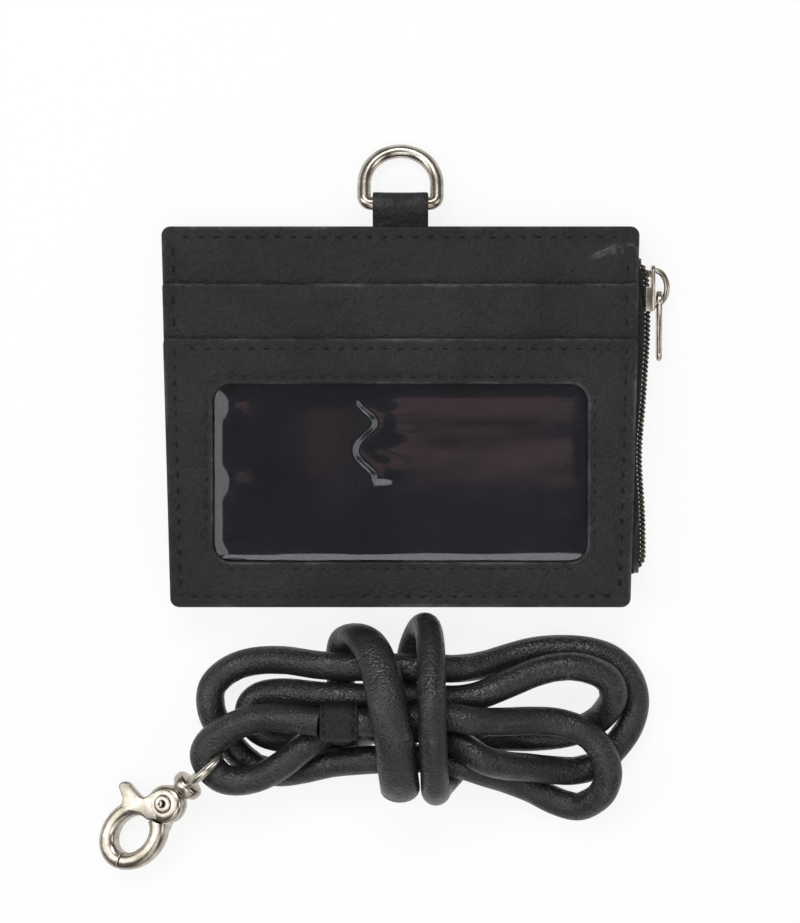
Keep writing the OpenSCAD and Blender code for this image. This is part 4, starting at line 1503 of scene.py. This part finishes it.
    def back(self) -> None:
        """The back of the pouch: dished to its flat rest face, and open at the right side."""
        slope = [0.0, 0.03, 0.08, 0.16, 0.3, 0.45, 0.6, 0.75, 0.87, 0.95, 1.0]
        depths = [0.0, 0.1, 0.35, 1.0, 2.0, 3.2] + [self.rim_w + self.slope_w * s for s in slope] + [13.0, 20.0]

        def line(d: float, lift: float) -> Row:
            """One line of the dish, from the upper right corner round the left side to the lower right one.

            Args:
                d: Its distance inside the edge, in millimetres.
                lift: Its height over the dish.

            Returns:
                Points in millimetres.
            """
            share = min(1.0, max(0.0, (d - self.rim_w) / self.slope_w))
            z = self.pouch_depth * (1 + math.cos(math.pi * share)) / 2 + lift
            hi, lo, r, steps = self.half_h - d, -self.half_h + d, self.corner_r + d / 2, 60
            out = [Vector((self.half_w(hi) - (2 * self.half_w(hi) - d - r) * i / steps, hi, z)) for i in range(steps)]
            for cx, cy, start in ((-self.half_w(hi) + d + r, hi - r, 90), (-self.half_w(lo) + d + r, lo + r, 180)):
                out += [Vector((*p, z)) for p in arc(cx, cy, r, start, start + 90, 10)]
                if start == 90:
                    a, b = out[-1], Vector((-self.half_w(lo) + d, lo + r, z))
                    out += [a + (b - a) * (i / steps) for i in range(1, steps)]
            a, b = out[-1], Vector((self.half_w(lo), lo, z))
            out += [a + (b - a) * (i / steps) for i in range(1, steps + 1)]
            return [Vector((min(p.x, self.half_w(p.y) - round_off(self.half_h - abs(p.y), self.corner_r)),
                            p.y, p.z)) for p in out]

        rows = [line(d, 0.0) for d in reversed(depths)]
        rows.append(line(0.0, self.back_t * 0.5))
        rows += [line(d + 0.12 * (d == 0.0), self.back_t - 0.25 * (d == 0.0)) for d in depths]
        bm = loft([[p * MM for p in row] for row in rows], along=True)
        close_holes(bm)
        bm.verts.layers.float.new("lightened")
        self.leather("back_panel_leather", "back_panel", bm)

    def pouch_front(self) -> None:
        """The pouch's front wall, which reaches over the zip at the right."""
        def reach(y: float, inset: float) -> float:
            """How far the wall reaches out over the zip.

            Args:
                y: Height on the wallet, in millimetres.
                inset: Distance inside the edge; not used.

            Returns:
                A length in millimetres.
            """
            s = (y + self.chain_l / 2) / self.chain_l
            flap = min(self.flap, chain_x(y) - 0.75 - self.half_w(y))
            return flap * smooth_step(min(6 * s, 6 * (1 - s))) if 0 < s < 1 else 0.0

        bm = self.sheet(self.half_h, self.corner_r, self.rim_z, lambda x, y: 0.0,
                        lambda x, y: abs(self.half_w(y) + self.flap - x), 0.02, reach)
        self.leather("pouch_front_leather", "pouch_front", bm)

    def film(self) -> None:
        """The clear window: a thin sheet that waves where the frame pinches it."""
        wide, high = self.window_w / 2 + self.film_lap, self.window_h / 2 + self.film_lap

        def wave(x: float, y: float) -> float:
            """How high the film stands over its plain level.

            Args:
                x: First coordinate, in millimetres.
                y: Second coordinate.

            Returns:
                A height in millimetres.
            """
            left, right = self.window_w / 2 + x, self.window_w / 2 - x
            low, high_side = self.window_h / 2 + y, self.window_h / 2 - y
            free = 1.0
            for inside, reach in ((left, 1.7), (right, 1.2), (low, 1.4 + 0.2 * math.sin(x / 4) + 0.006 * x),
                                  (high_side, 2.5)):
                free *= math.tanh(max(0.0, inside) / reach)
            bulge = bell(left - 4.2, 2.6) * max(0.0, math.cos(math.tau * (y + 2.0) / self.bulge_pitch)) ** 1.5
            turn = math.tau * (y - 11.0) / self.fold_pitch
            off_fold = (x + 6.9 - self.fold_sway * math.cos(turn)) / math.hypot(1.0, 1.1 * math.sin(turn))
            ends = smooth_step((y + 3.0) / 2) * smooth_step((17.5 - y) / 3)
            fold = bell(off_fold, 0.95 if off_fold < 0 else 3.2) * ends
            slack = 0.01 * ripple(x * 0.25, y, 15.0, 4.2) + 0.012 * ripple(x, y, 1.0, 20.0)
            return free * (self.film_rise + self.bulge_high * bulge + self.fold_high * fold + slack)

        columns, lines = 240, 124
        xs = [-wide + 2 * wide * i / columns for i in range(columns + 1)]
        ys = [-high + 2 * high * j / lines for j in range(lines + 1)]
        under, over = ([[vec(x, y + self.window_y, z + wave(x, y)) for x in xs] for y in ys]
                       for z in (self.film_z, self.film_z + self.film_t))
        bm = loft(under + over[::-1], along=True)
        close_holes(bm)
        piece("window_film_sheet", bm, self.finishes.film, self.body, ["window_film"], 50.0)

    def tab(self) -> None:
        """The folded tab round the ring's bar, with a dip where the two plies meet at the top edge, and a painted
        highlight on the upper side of its fold.
        """
        bar = self.tab_wire / 2 + self.bar_clearance
        fold = bar + self.tab_ply
        bar_y = self.half_h + self.tab_rise - fold
        mid = self.rim_z + self.leather_t / 2
        start, skived = self.half_h - 7.0, self.leather_t / 2

        def profile(shrink: float) -> list[Pair]:
            """The tab's section, from the round end over the top and back below.

            Args:
                shrink: How much smaller it is than the middle one, in millimetres.

            Returns:
                Pairs of the second coordinate and the height.
            """
            r = fold - shrink
            round_end = arc(bar_y, mid, r, -112, 112, 28)
            neck = self.half_h
            upper = [(neck + (bar_y - 1.0 - neck) * s, mid + (skived - shrink * 0.4)
                      + (r * 0.94 - skived + shrink * 0.4) * smooth_step(s)) for s in (0.8, 0.55, 0.3, 0.12, 0.0)]
            flat = [(start, mid + skived - shrink * 0.4), (start, mid - skived + shrink * 0.4)]
            lower = [(y, 2 * mid - z) for y, z in reversed(upper)]
            return round_end + upper + flat + lower

        half = self.tab_w / 2
        left = [(-half, 0.3), (-half + 0.08, 0.12), (-half + 0.3, 0.0), (-half + 1.2, -0.02), (-half + 3.0, 0.05)]
        across = left + [(0.0, 0.06)] + [(-x, shrink) for x, shrink in reversed(left)]
        rows = [[vec(x, y, z) for y, z in profile(shrink)] for x, shrink in across]
        bm = loft(rows, across=True)
        close_holes(bm)
        # painted highlight: the attribute brightens the upper side of the fold round the bar
        layer = bm.verts.layers.float.new("lightened")
        for vert in bm.verts:
            vert[layer] = 0.5 * smooth_step((vert.co.z / MM - mid) / fold) * bell(vert.co.y / MM - bar_y, 2.5)
        self.leather("ring_tab_leather", "ring_tab", bm, 60.0)

    def stitching(self) -> None:
        """All rows of thread on the wallet."""
        i, end, mid = self.inset, self.seam_end, self.window_y
        y_lo, y_top = -self.half_h + i, self.half_h - i
        y_window, y_card = self.half_h - self.window_drop, self.half_h - self.card_drop
        front, card, wall = (z + self.leather_t - self.groove_deep + self.thread_lift
                             for z in (self.window_z, self.card_z, self.front_z))
        levels = ((y_lo + end, y_window - end, front), (y_window + end, y_card - end, card),
                  (y_card + end, y_top - end, wall))
        rows = [(side.value * (self.half_w(a) - i), a, side.value * (self.half_w(b) - i), b, z)
                for side in Side for a, b, z in levels]
        for y, z in ((y_lo, front), (y_top, wall)):
            x = self.half_w(y) - i - end
            rows.append((-x, y, x, y, z))
        self.thread_rows("perimeter_thread", "perimeter_stitching", Seam(self.pitch, 0.5), rows)
        x, y, r = self.window_w / 2 + self.window_seam, self.window_h / 2 + self.window_seam, self.window_r
        rows = [(-x + r, mid + s * y, x - r, mid + s * y, front) for s in (-1, 1)]
        rows += [(s * x, mid - y + r, s * x, mid + y - r, front) for s in (-1, 1)]
        self.thread_rows("window_thread", "window_stitching", Seam(2.8, 0.42), rows)
        y = y_window - self.edge_seam
        x = self.half_w(y) - 2 * i
        self.thread_rows("pocket_edge_thread", "pocket_edge_stitching", Seam(3.2, 0.42), [(-x, y, x, y, front)])

    def thread_rows(self, name: str, node: str, seam: Seam, rows: Iterable[tuple[float, ...]]) -> None:
        """Makes one piece of several rows of stitches.

        Args:
            name: The piece's name.
            node: The CAD node that it stands for.
            seam: The kind of stitch.
            rows: The start's and the end's place and the height of each row, in millimetres.
        """
        runs = [seam.stitches(vec(x0, y0, z), vec(x1, y1, z)) for x0, y0, x1, y1, z in rows]
        piece(name, joined(runs), self.finishes.thread, self.body, [node])


@dataclass
class RingAndZip(Assembly):
    """The D-ring in its tab, and the zip: tapes, coils, stops, slider, bail and pull."""
    wire: float = 3.0
    inner_w: float = 13.0
    inner_h: float = 9.7
    corner_r: float = 1.7
    bar_y: float = 46.79
    bar_z: float = 6.5
    zip_x: float = 53.8
    zip_z: float = 3.55
    chain_l: float = 65.0
    coil_d: float = 1.4
    coil_wire: float = 0.66
    chain_over: float = 2.4
    tape_t: float = 0.3
    coil_pitch: float = 1.0
    coil_z: float = 0.65
    part_z: float = 0.7
    slider_l: float = 9.8
    slider_w: float = 6.0
    slider_top: float = 33.22
    plate_t: float = 0.7
    out_x: float = 55.4
    in_x: float = 52.2
    bail_wire: float = 1.3
    bail_r: float = 3.2
    bail_out: float = 2.75
    bail_high: float = 3.8
    pull_l: float = 15.5
    pull_t: float = 1.2
    pull_w: float = 3.6
    pull_hole_r: float = 1.4
    pull_ring_r: float = 2.3
    pull_rest: float = -68.0

    def build(self) -> None:
        """Makes the ring, then the zip."""
        self.d_ring()
        self.tapes()
        self.coils()
        self.slider()
        self.bail()
        self.pull()
        self.dress_node("pouch_lining", self.finishes.tape)

    def d_ring(self) -> None:
        """The D-ring: round wire along a D, whose far end lies on the table."""
        r = (self.inner_w + self.wire) / 2
        length = self.inner_h + self.wire
        tilt = math.asin((self.bar_z - self.wire / 2) / length)
        c = self.corner_r
        line = [Vector((*p, 0.0)) for p in (
            (-3.0, 0.0), (0.0, 0.0), (3.0, 0.0), *arc(r - c, c, c, -90, 0, 6), *arc(0.0, length - r, r, 0, 180, 30),
            *arc(-r + c, c, c, 180, 270, 6))]
        sides, count = 18, len(line)
        rows = []
        for k, point in enumerate(line):
            way = (line[(k + 1) % count] - line[k - 1]).normalized()
            out = Vector((way.y, -way.x, 0.0))
            rows.append([point + self.wire / 2 * (c * out + s * UP) for c, s in circle(sides)])
        bm = loft([[p * MM for p in row] for row in rows], across=True, along=True)
        place = Matrix.Translation(vec(0.0, self.bar_y, self.bar_z)) @ Matrix.Rotation(-tilt, 4, "X")
        bmesh.ops.transform(bm, matrix=place, verts=bm.verts)
        self.metal("d_ring_wire", bm, "d_ring", "d_ring", 60.0)

    def spread(self, y: float) -> float:
        """How far each coil has left the middle: most at the slider's head."""
        return self.part_z * smooth_step(1 - (self.chain_l / 2 - y) / (1.4 * self.slider_l))

    def tapes(self) -> None:
        """The woven tapes, from inside the pouch down to the coils, and the stops at the chain's ends."""
        half = self.chain_l / 2 + self.chain_over
        for sign, node in ((1, "zip_tape_front"), (-1, "zip_tape_back")):
            rows = []
            for i in range(111):
                y = -half + 2 * half * i / 110
                x, out = chain_x(y), self.spread(y)
                line = [(45.0, 2.25), (50.0, 2.25), (51.6, 2.05), (min(52.4, x - 1.3), 1.45 + out / 2),
                        (x - 0.9, 0.95 + out), (x - 0.62, 0.8 + out)]
                line += [(a, b - self.tape_t) for a, b in reversed(line)]
                rows.append([vec(a, y, self.zip_z + sign * b) for a, b in line])
            bm = loft(rows, across=True)
            close_holes(bm)
            piece(node + "_cloth", bm, self.finishes.tape, "wallet", [node], 60.0)
        for node, y, tall in (("zip_top_stop", half - 0.9, 2.0), ("zip_bottom_stop", -half + 0.9, 1.35)):
            x = chain_x(y)
            block = self.bar(vec(x - 0.75, y - 0.8, self.zip_z - tall), vec(x + 0.75, y + 0.8, self.zip_z + tall), 0.3)
            piece(node + "_crimp", block, self.finishes.coil, "wallet", [node], 40.0)

    def coils(self) -> None:
        """Two coils of monofilament, which part as they run into the slider."""
        half, per_turn = self.chain_l / 2 + self.chain_over, 10
        turns, r = int(2 * half / self.coil_pitch), (self.coil_d - self.coil_wire) / 2
        for sign, node in ((1, "zip_coil_front"), (-1, "zip_coil_back")):
            path = []
            for i in range(turns * per_turn + 1):
                t = i / per_turn
                y, angle = half - t * self.coil_pitch, math.tau * t * sign
                path.append(vec(chain_x(y) + r * math.cos(angle), y,
                                self.zip_z + sign * (self.coil_z + self.spread(y)) + r * math.sin(angle)))
            bm = tube(path, self.coil_wire / 2 * MM, 6)
            piece(node + "_wound", bm, self.finishes.coil, "wallet", [node], 70.0)

    def plate(self, x: float, half: float, length: float, top: float) -> Mesh:
        """One plate of the slider, with its long edges softened.

        Args:
            x: Where its inner face is, in millimetres.
            half: Half its width.
            length: Its length.
            top: Height of its upper end.

        Returns:
            A new bmesh.
        """
        side = [(top - length, half * 0.75), (top - 0.4 * length, half), (top - 0.1 * length, half), (top, half * 0.7)]
        corners = [(y, -z) for y, z in side] + side[::-1]
        return prism([vec(x, y, self.zip_z + z) for y, z in corners], vec(self.plate_t, 0.0, 0.0), 0.2)

    @staticmethod
    def bar(low: Vector, high: Vector, rounding: float) -> Mesh:
        """A block between two corners, with bevelled edges.

        Args:
            low: The lowest corner, in metres.
            high: The corner opposite.
            rounding: Size of the bevel, in millimetres.

        Returns:
            A new bmesh.
        """
        bm = bmesh.new()
        size = high - low
        bmesh.ops.create_cube(bm, size=1.0, matrix=Matrix.Translation((low + high) / 2)
                              @ Matrix.Diagonal((size.x, size.y, size.z, 1.0)))
        bevel(bm, list(bm.edges), rounding)
        return bm

    def slider(self) -> None:
        """The slider's two plates, the post between them and the lips that close the chain."""
        half, post = self.slider_w / 2, 1.6
        parts = [self.plate(self.out_x, half, self.slider_l, self.slider_top),
                 self.plate(self.in_x - self.plate_t, half / 2, 0.85 * self.slider_l,
                            self.slider_top - 0.6 * self.coil_d),
                 self.bar(vec(self.in_x - 0.2, self.slider_top - 1.6 * post, self.zip_z - 0.5),
                          vec(self.out_x + 0.2, self.slider_top - 0.6 * post, self.zip_z + 0.5), 0.2)]
        for sign in (-1, 1):
            z = self.zip_z + sign * (half - 0.3)
            parts.append(self.bar(vec(self.zip_x + 0.1, self.slider_top - self.slider_l - 0.3, z - 0.3),
                                  vec(self.out_x + 0.2, self.slider_top - self.slider_l / 2 + 0.2, z + 0.3), 0.15))
        self.metal("slider_plates", joined(parts), "zip_slider", "slider_body")

    def bail(self) -> None:
        """The half hoop that the pull hangs on, with its feet sunk in the plate."""
        x, y, high = self.out_x + self.plate_t, self.slider_top - self.slider_l / 2, self.bail_high
        hoop = [(x + self.bail_out * c, y + high * s) for c, s in arc(0.0, 0.0, 1.0, -90, 90, 18)]
        path = [vec(a, b, self.zip_z) for a, b in ((x - 0.3, y - high), *hoop, (x - 0.3, y + high))]
        self.metal("slider_bail_hoop", tube(path, self.bail_wire / 2 * MM, 14), "zip_slider", "slider_bail", 60.0)

    def pull(self) -> None:
        """The pull: a flat plate with a ring end, which hangs edge-on to the front."""
        rest = math.radians(self.pull_rest)
        x = self.out_x + self.plate_t + self.bail_out * math.cos(rest)
        y = self.slider_top - self.slider_l / 2 + self.bail_r * math.sin(rest)
        half, waist = self.pull_w / 2, -self.pull_l / 3
        tip = self.pull_ring_r - self.pull_l
        edge = [*arc(0.0, 0.0, self.pull_ring_r, -120, 120, 24), (waist, half),
                *arc(tip + half, 0.0, half, 90, 270, 12), (waist, -half)]
        bm = bmesh.new()
        outer = [bm.verts.new(vec(x - self.pull_t / 2, y + a, self.zip_z + b)) for a, b in edge]
        hole = bmesh.ops.create_circle(bm, segments=24, radius=self.pull_hole_r * MM,
                                       matrix=Matrix.Translation(vec(x - self.pull_t / 2, y, self.zip_z))
                                       @ Matrix.Rotation(math.pi / 2, 4, "Y"))["verts"]
        rim = [bm.edges.new((outer[i], outer[(i + 1) % len(outer)])) for i in range(len(outer))]
        ring = list({e for v in hole for e in v.link_edges})
        bmesh.ops.triangle_fill(bm, edges=rim + ring, use_beauty=True)
        thicken(bm, vec(self.pull_t, 0.0, 0.0))
        sharp = [e for e in bm.edges if len(e.link_faces) == 2 and e.calc_face_angle(0.0) > math.radians(60)]
        bevel(bm, sharp, 0.4, 4)
        self.metal("pull_plate", bm, "zip_pull", "pull_tab")


@dataclass
class Clasp(Assembly):
    """The trigger snap: an oval hook split between a body and a sprung gate, on a swivel with an eye."""
    place: Point = (-51.7, -86.0, 6.8)
    heading: float = 223.3
    tilt: float = 12.0
    roll: float = 22.0
    thick: float = 4.4
    head_r: float = 4.2
    ring_at: float = 10.6
    ring_out: Pair = (9.0, 7.2)
    ring_in: Pair = (4.8, 3.5)
    split_at: float = 31.0
    split_play: float = 0.8
    half_split: float = 0.12
    rivet_r: float = 2.0
    rivet_t: float = 0.5
    rivet_bore_r: float = 0.78
    rivet_deep: float = 4.2
    pin_r: float = 1.1
    gate_bore_r: float = 1.15
    stem_r: float = 2.3
    stem_x: float = -4.9
    collar_r: float = 3.5
    collar_l: float = 2.6
    collar_gap: float = 0.25
    eye_at: float = -12.45
    eye_in: float = 4.0
    eye_wire: float = 1.95
    head_gap: float = 0.26
    jaw_square: Pair = (0.75, 0.68)

    @property
    def axis_place(self) -> Matrix:
        """From the long axis, lying tilted, to the table."""
        return (Matrix.Translation(vec(*self.place)) @ Matrix.Rotation(math.radians(self.heading), 4, "Z")
                @ Matrix.Rotation(math.radians(self.tilt), 4, "Y"))

    @property
    def clasp_place(self) -> Matrix:
        """From the clasp's own frame, rolled about the long axis, to the table."""
        return self.axis_place @ Matrix.Rotation(math.radians(self.roll), 4, "X")

    def build(self) -> None:
        """Makes the body, the gate, the rivet and the swivel."""
        half = top = self.thick / 2
        split, head, rivet, bore = self.half_split, self.head_r, self.rivet_r, self.rivet_bore_r
        body = [self.jaw(self.split_at + self.split_play, 172.0, half),
                self.turned([(0.0, -half), (head - 1.0, -half), (head - 0.3, -half + 0.3), (head, -half + 1.0),
                             (head, -split), (0.0, -split)]),
                self.shoulder(1), self.stem()]
        self.place_piece("clasp_body_cast", body, self.clasp_place, "clasp", "clasp_body")
        gate = [self.jaw(self.split_at - self.split_play, -172.0, half),
                self.turned([(self.gate_bore_r, split), (head, split), (head, top - 1.0), (head - 0.12, top - 0.6),
                             (head - 0.45, top - 0.25), (head - 0.95, top - 0.06), (head - 1.5, top + 0.02),
                             (rivet + 0.15, top + 0.05), (rivet + 0.02, top - 0.08), (self.gate_bore_r, top - 0.08),
                             (self.gate_bore_r, split)]),
                self.shoulder(-1), self.lever()]
        self.place_piece("gate_lever_cast", gate, self.clasp_place, "gate", "gate_lever")
        pin = self.turned([(0.0, -half), (self.pin_r, -half), (self.pin_r, top), (rivet - 0.12, top),
                           (rivet, top + 0.12), (rivet - 0.1, top + 0.38), (rivet - 0.5, top + self.rivet_t),
                           (bore + 0.25, top + self.rivet_t), (bore, top + self.rivet_t - 0.2),
                           (bore, top - self.rivet_deep), (0.0, top - self.rivet_deep)])
        self.place_piece("gate_rivet", [pin], self.clasp_place, "clasp", "gate_pin")
        self.place_piece("swivel_eye_wire", [self.eye()], self.axis_place, "lanyard", "swivel_eye")
        self.place_piece("swivel_collar_turned", [self.collar()], self.axis_place, "lanyard", "swivel_collar")
        self.dress_node("gate_spring", self.finishes.nickel)

    def place_piece(self, name: str, parts: list[Mesh], place: Matrix, body: str, node: str) -> None:
        """Joins parts, moves them into place and makes the piece.

        Args:
            name: The piece's name.
            parts: Its meshes, in the clasp's frame.
            place: The transform to the table.
            body: The CAD body that carries it.
            node: The CAD node that it stands for.
        """
        bm = joined(parts)
        bmesh.ops.transform(bm, matrix=place, verts=bm.verts)
        self.metal(name, bm, body, node, 38.0)

    def turned(self, profile: Sequence[Pair], sides: int = 56) -> Mesh:
        """A turned shape about the pin's axis.

        Args:
            profile: Radius and height pairs, from axis to axis.
            sides: Steps round the axis.

        Returns:
            A new bmesh.
        """
        bm = bmesh.new()
        verts = [bm.verts.new(vec(r, 0.0, z)) for r, z in profile]
        edges = [bm.edges.new((a, b)) for a, b in zip(verts, verts[1:])]
        bmesh.ops.spin(bm, geom=verts + edges, cent=(0.0, 0.0, 0.0), axis=(0.0, 0.0, 1.0), angle=math.tau,
                       steps=sides, use_merge=True)
        bmesh.ops.remove_doubles(bm, verts=bm.verts, dist=1e-6)
        return bm

    def jaw(self, start: float, end: float, half: float) -> Mesh:
        """One half of the oval hook, from the split round to the head.

        Args:
            start: Angle of the end at the split, in degrees.
            end: Angle where it reaches the head.
            half: Half the thickness.

        Returns:
            A new bmesh.
        """
        steps, sides = 44, 20

        def ring(angle: float, shrink: float) -> Row:
            """One section of the hook.

            Args:
                angle: Where it is, in degrees.
                shrink: Its share of the full size.

            Returns:
                Points in metres.
            """
            c, s = math.cos(math.radians(angle)), math.sin(math.radians(angle))
            outer, inner = (Vector((self.ring_at + rx * c, ry * s, 0.0)) for rx, ry in (self.ring_out, self.ring_in))
            middle, arm = (outer + inner) / 2, (outer - inner) / 2
            wide, high = self.jaw_square
            return [(middle + shrink * (squarer(a, wide) * arm + squarer(b, high) * half * UP)) * MM
                    for a, b in circle(sides)]

        step = (end - start) / steps
        rows = [ring(start, POINT), ring(start, 0.8), ring(start + 0.15 * step, 0.93)]
        rows += [ring(start + step * (k + 0.6), 1.0) for k in range(steps)]
        bm = loft([*rows, ring(end, POINT)], across=True)
        bmesh.ops.remove_doubles(bm, verts=bm.verts, dist=5e-6)
        clear = (self.head_r + self.head_gap) * MM
        for vert in (v for v in bm.verts if v.co.xy.length < clear):
            vert.co.xy *= clear / max(vert.co.xy.length, 1e-6)
        return bm

    def shoulder(self, side: int) -> Mesh:
        """The web that joins a jaw to its half of the head: below the split for the body, above for the gate.

        Args:
            side: 1 for the body's web, -1 for the gate's.

        Returns:
            A new bmesh.
        """
        half = self.thick / 2
        low, high = (-half + 0.1, -self.half_split) if side > 0 else (self.half_split, half - 0.12)
        outline = [(1.5, 3.3), (3.6, 4.3), (5.6, 5.1), (7.2, 5.5), (6.6, 3.6), (5.8, 2.0), (5.6, 0.5), (3.0, 0.1)]
        return prism([vec(x, side * y, low) for x, y in outline], vec(0.0, 0.0, high - low), 0.25, 2)

    def lever(self) -> Mesh:
        """The thumb lever: a straight blunt wedge, flush with the top of the head and of the jaw.

        Returns:
            A new bmesh.
        """
        outline = [(-1.4, -2.6), (0.6, -3.9), (2.0, -3.9), (2.9, -4.2), (3.5, -5.2), (3.9, -9.3), (4.4, -10.1),
                   (5.8, -10.5), (6.4, -10.0), (7.1, -7.3), (8.8, -6.3), (8.4, -4.5), (6.9, -3.3), (5.7, -1.8),
                   (5.4, 0.2), (3.6, 1.6), (0.0, 0.0)]
        return prism([vec(x, y, self.half_split + 0.1) for x, y in outline],
                     vec(0.0, 0.0, self.thick / 2 - self.half_split - 0.12), 0.42, 4)

    def stem(self) -> Mesh:
        """The barrel between the head and the swivel's collar."""
        x, r = self.stem_x, self.stem_r
        return self.along_axis([(0.0, x), (r - 0.35, x), (r, x + 0.35), (r, -4.45), (r - 0.1, -4.4), (0.0, -4.4)])

    def along_axis(self, profile: Sequence[Pair], sides: int = 40) -> Mesh:
        """A turned shape about the long axis.

        Args:
            profile: Radius and place pairs.
            sides: Steps round the axis.

        Returns:
            A new bmesh.
        """
        bm = self.turned(profile, sides)
        bmesh.ops.transform(bm, matrix=Matrix.Rotation(math.pi / 2, 4, "Y"), verts=bm.verts)
        return bm

    def collar(self) -> Mesh:
        """The swivel's flange, with rounded rims.

        Returns:
            A new bmesh.
        """
        end = self.stem_x - self.collar_gap
        start, r, c = end - self.collar_l, self.collar_r, self.collar_l
        return self.along_axis([(0.0, start), (r - 1.0, start), (r - 0.45, start + 0.12), (r - 0.1, start + 0.5),
                                (r, start + 0.9), (r, start + c - 0.9), (r - 0.1, start + c - 0.5),
                                (r - 0.45, start + c - 0.12), (r - 1.0, end), (1.1, end), (1.1, end + 1.6),
                                (0.0, end + 1.6)])

    def eye(self) -> Mesh:
        """The swivel's ring, of round wire.

        Returns:
            A new bmesh.
        """
        r, w = self.eye_in + self.eye_wire / 2, self.eye_wire / 2
        rows = [[vec(self.eye_at + a * (r + w * c), w * s, b * (r + w * c)) for c, s in circle(16)]
                for a, b in circle(60)]
        return loft(rows, across=True, along=True)


def main() -> None:
    """Builds the studio and every piece."""
    logging.basicConfig(level=logging.INFO, format="%(name)s: %(message)s")
    finishes = make_finishes()
    for assembly in (Studio(), Clasp(finishes), Lanyard(finishes), Wallet(finishes), RingAndZip(finishes)):
        assembly.build()
        LOG.info("built %s", type(assembly).__name__)


if __name__ == "__main__":
    main()
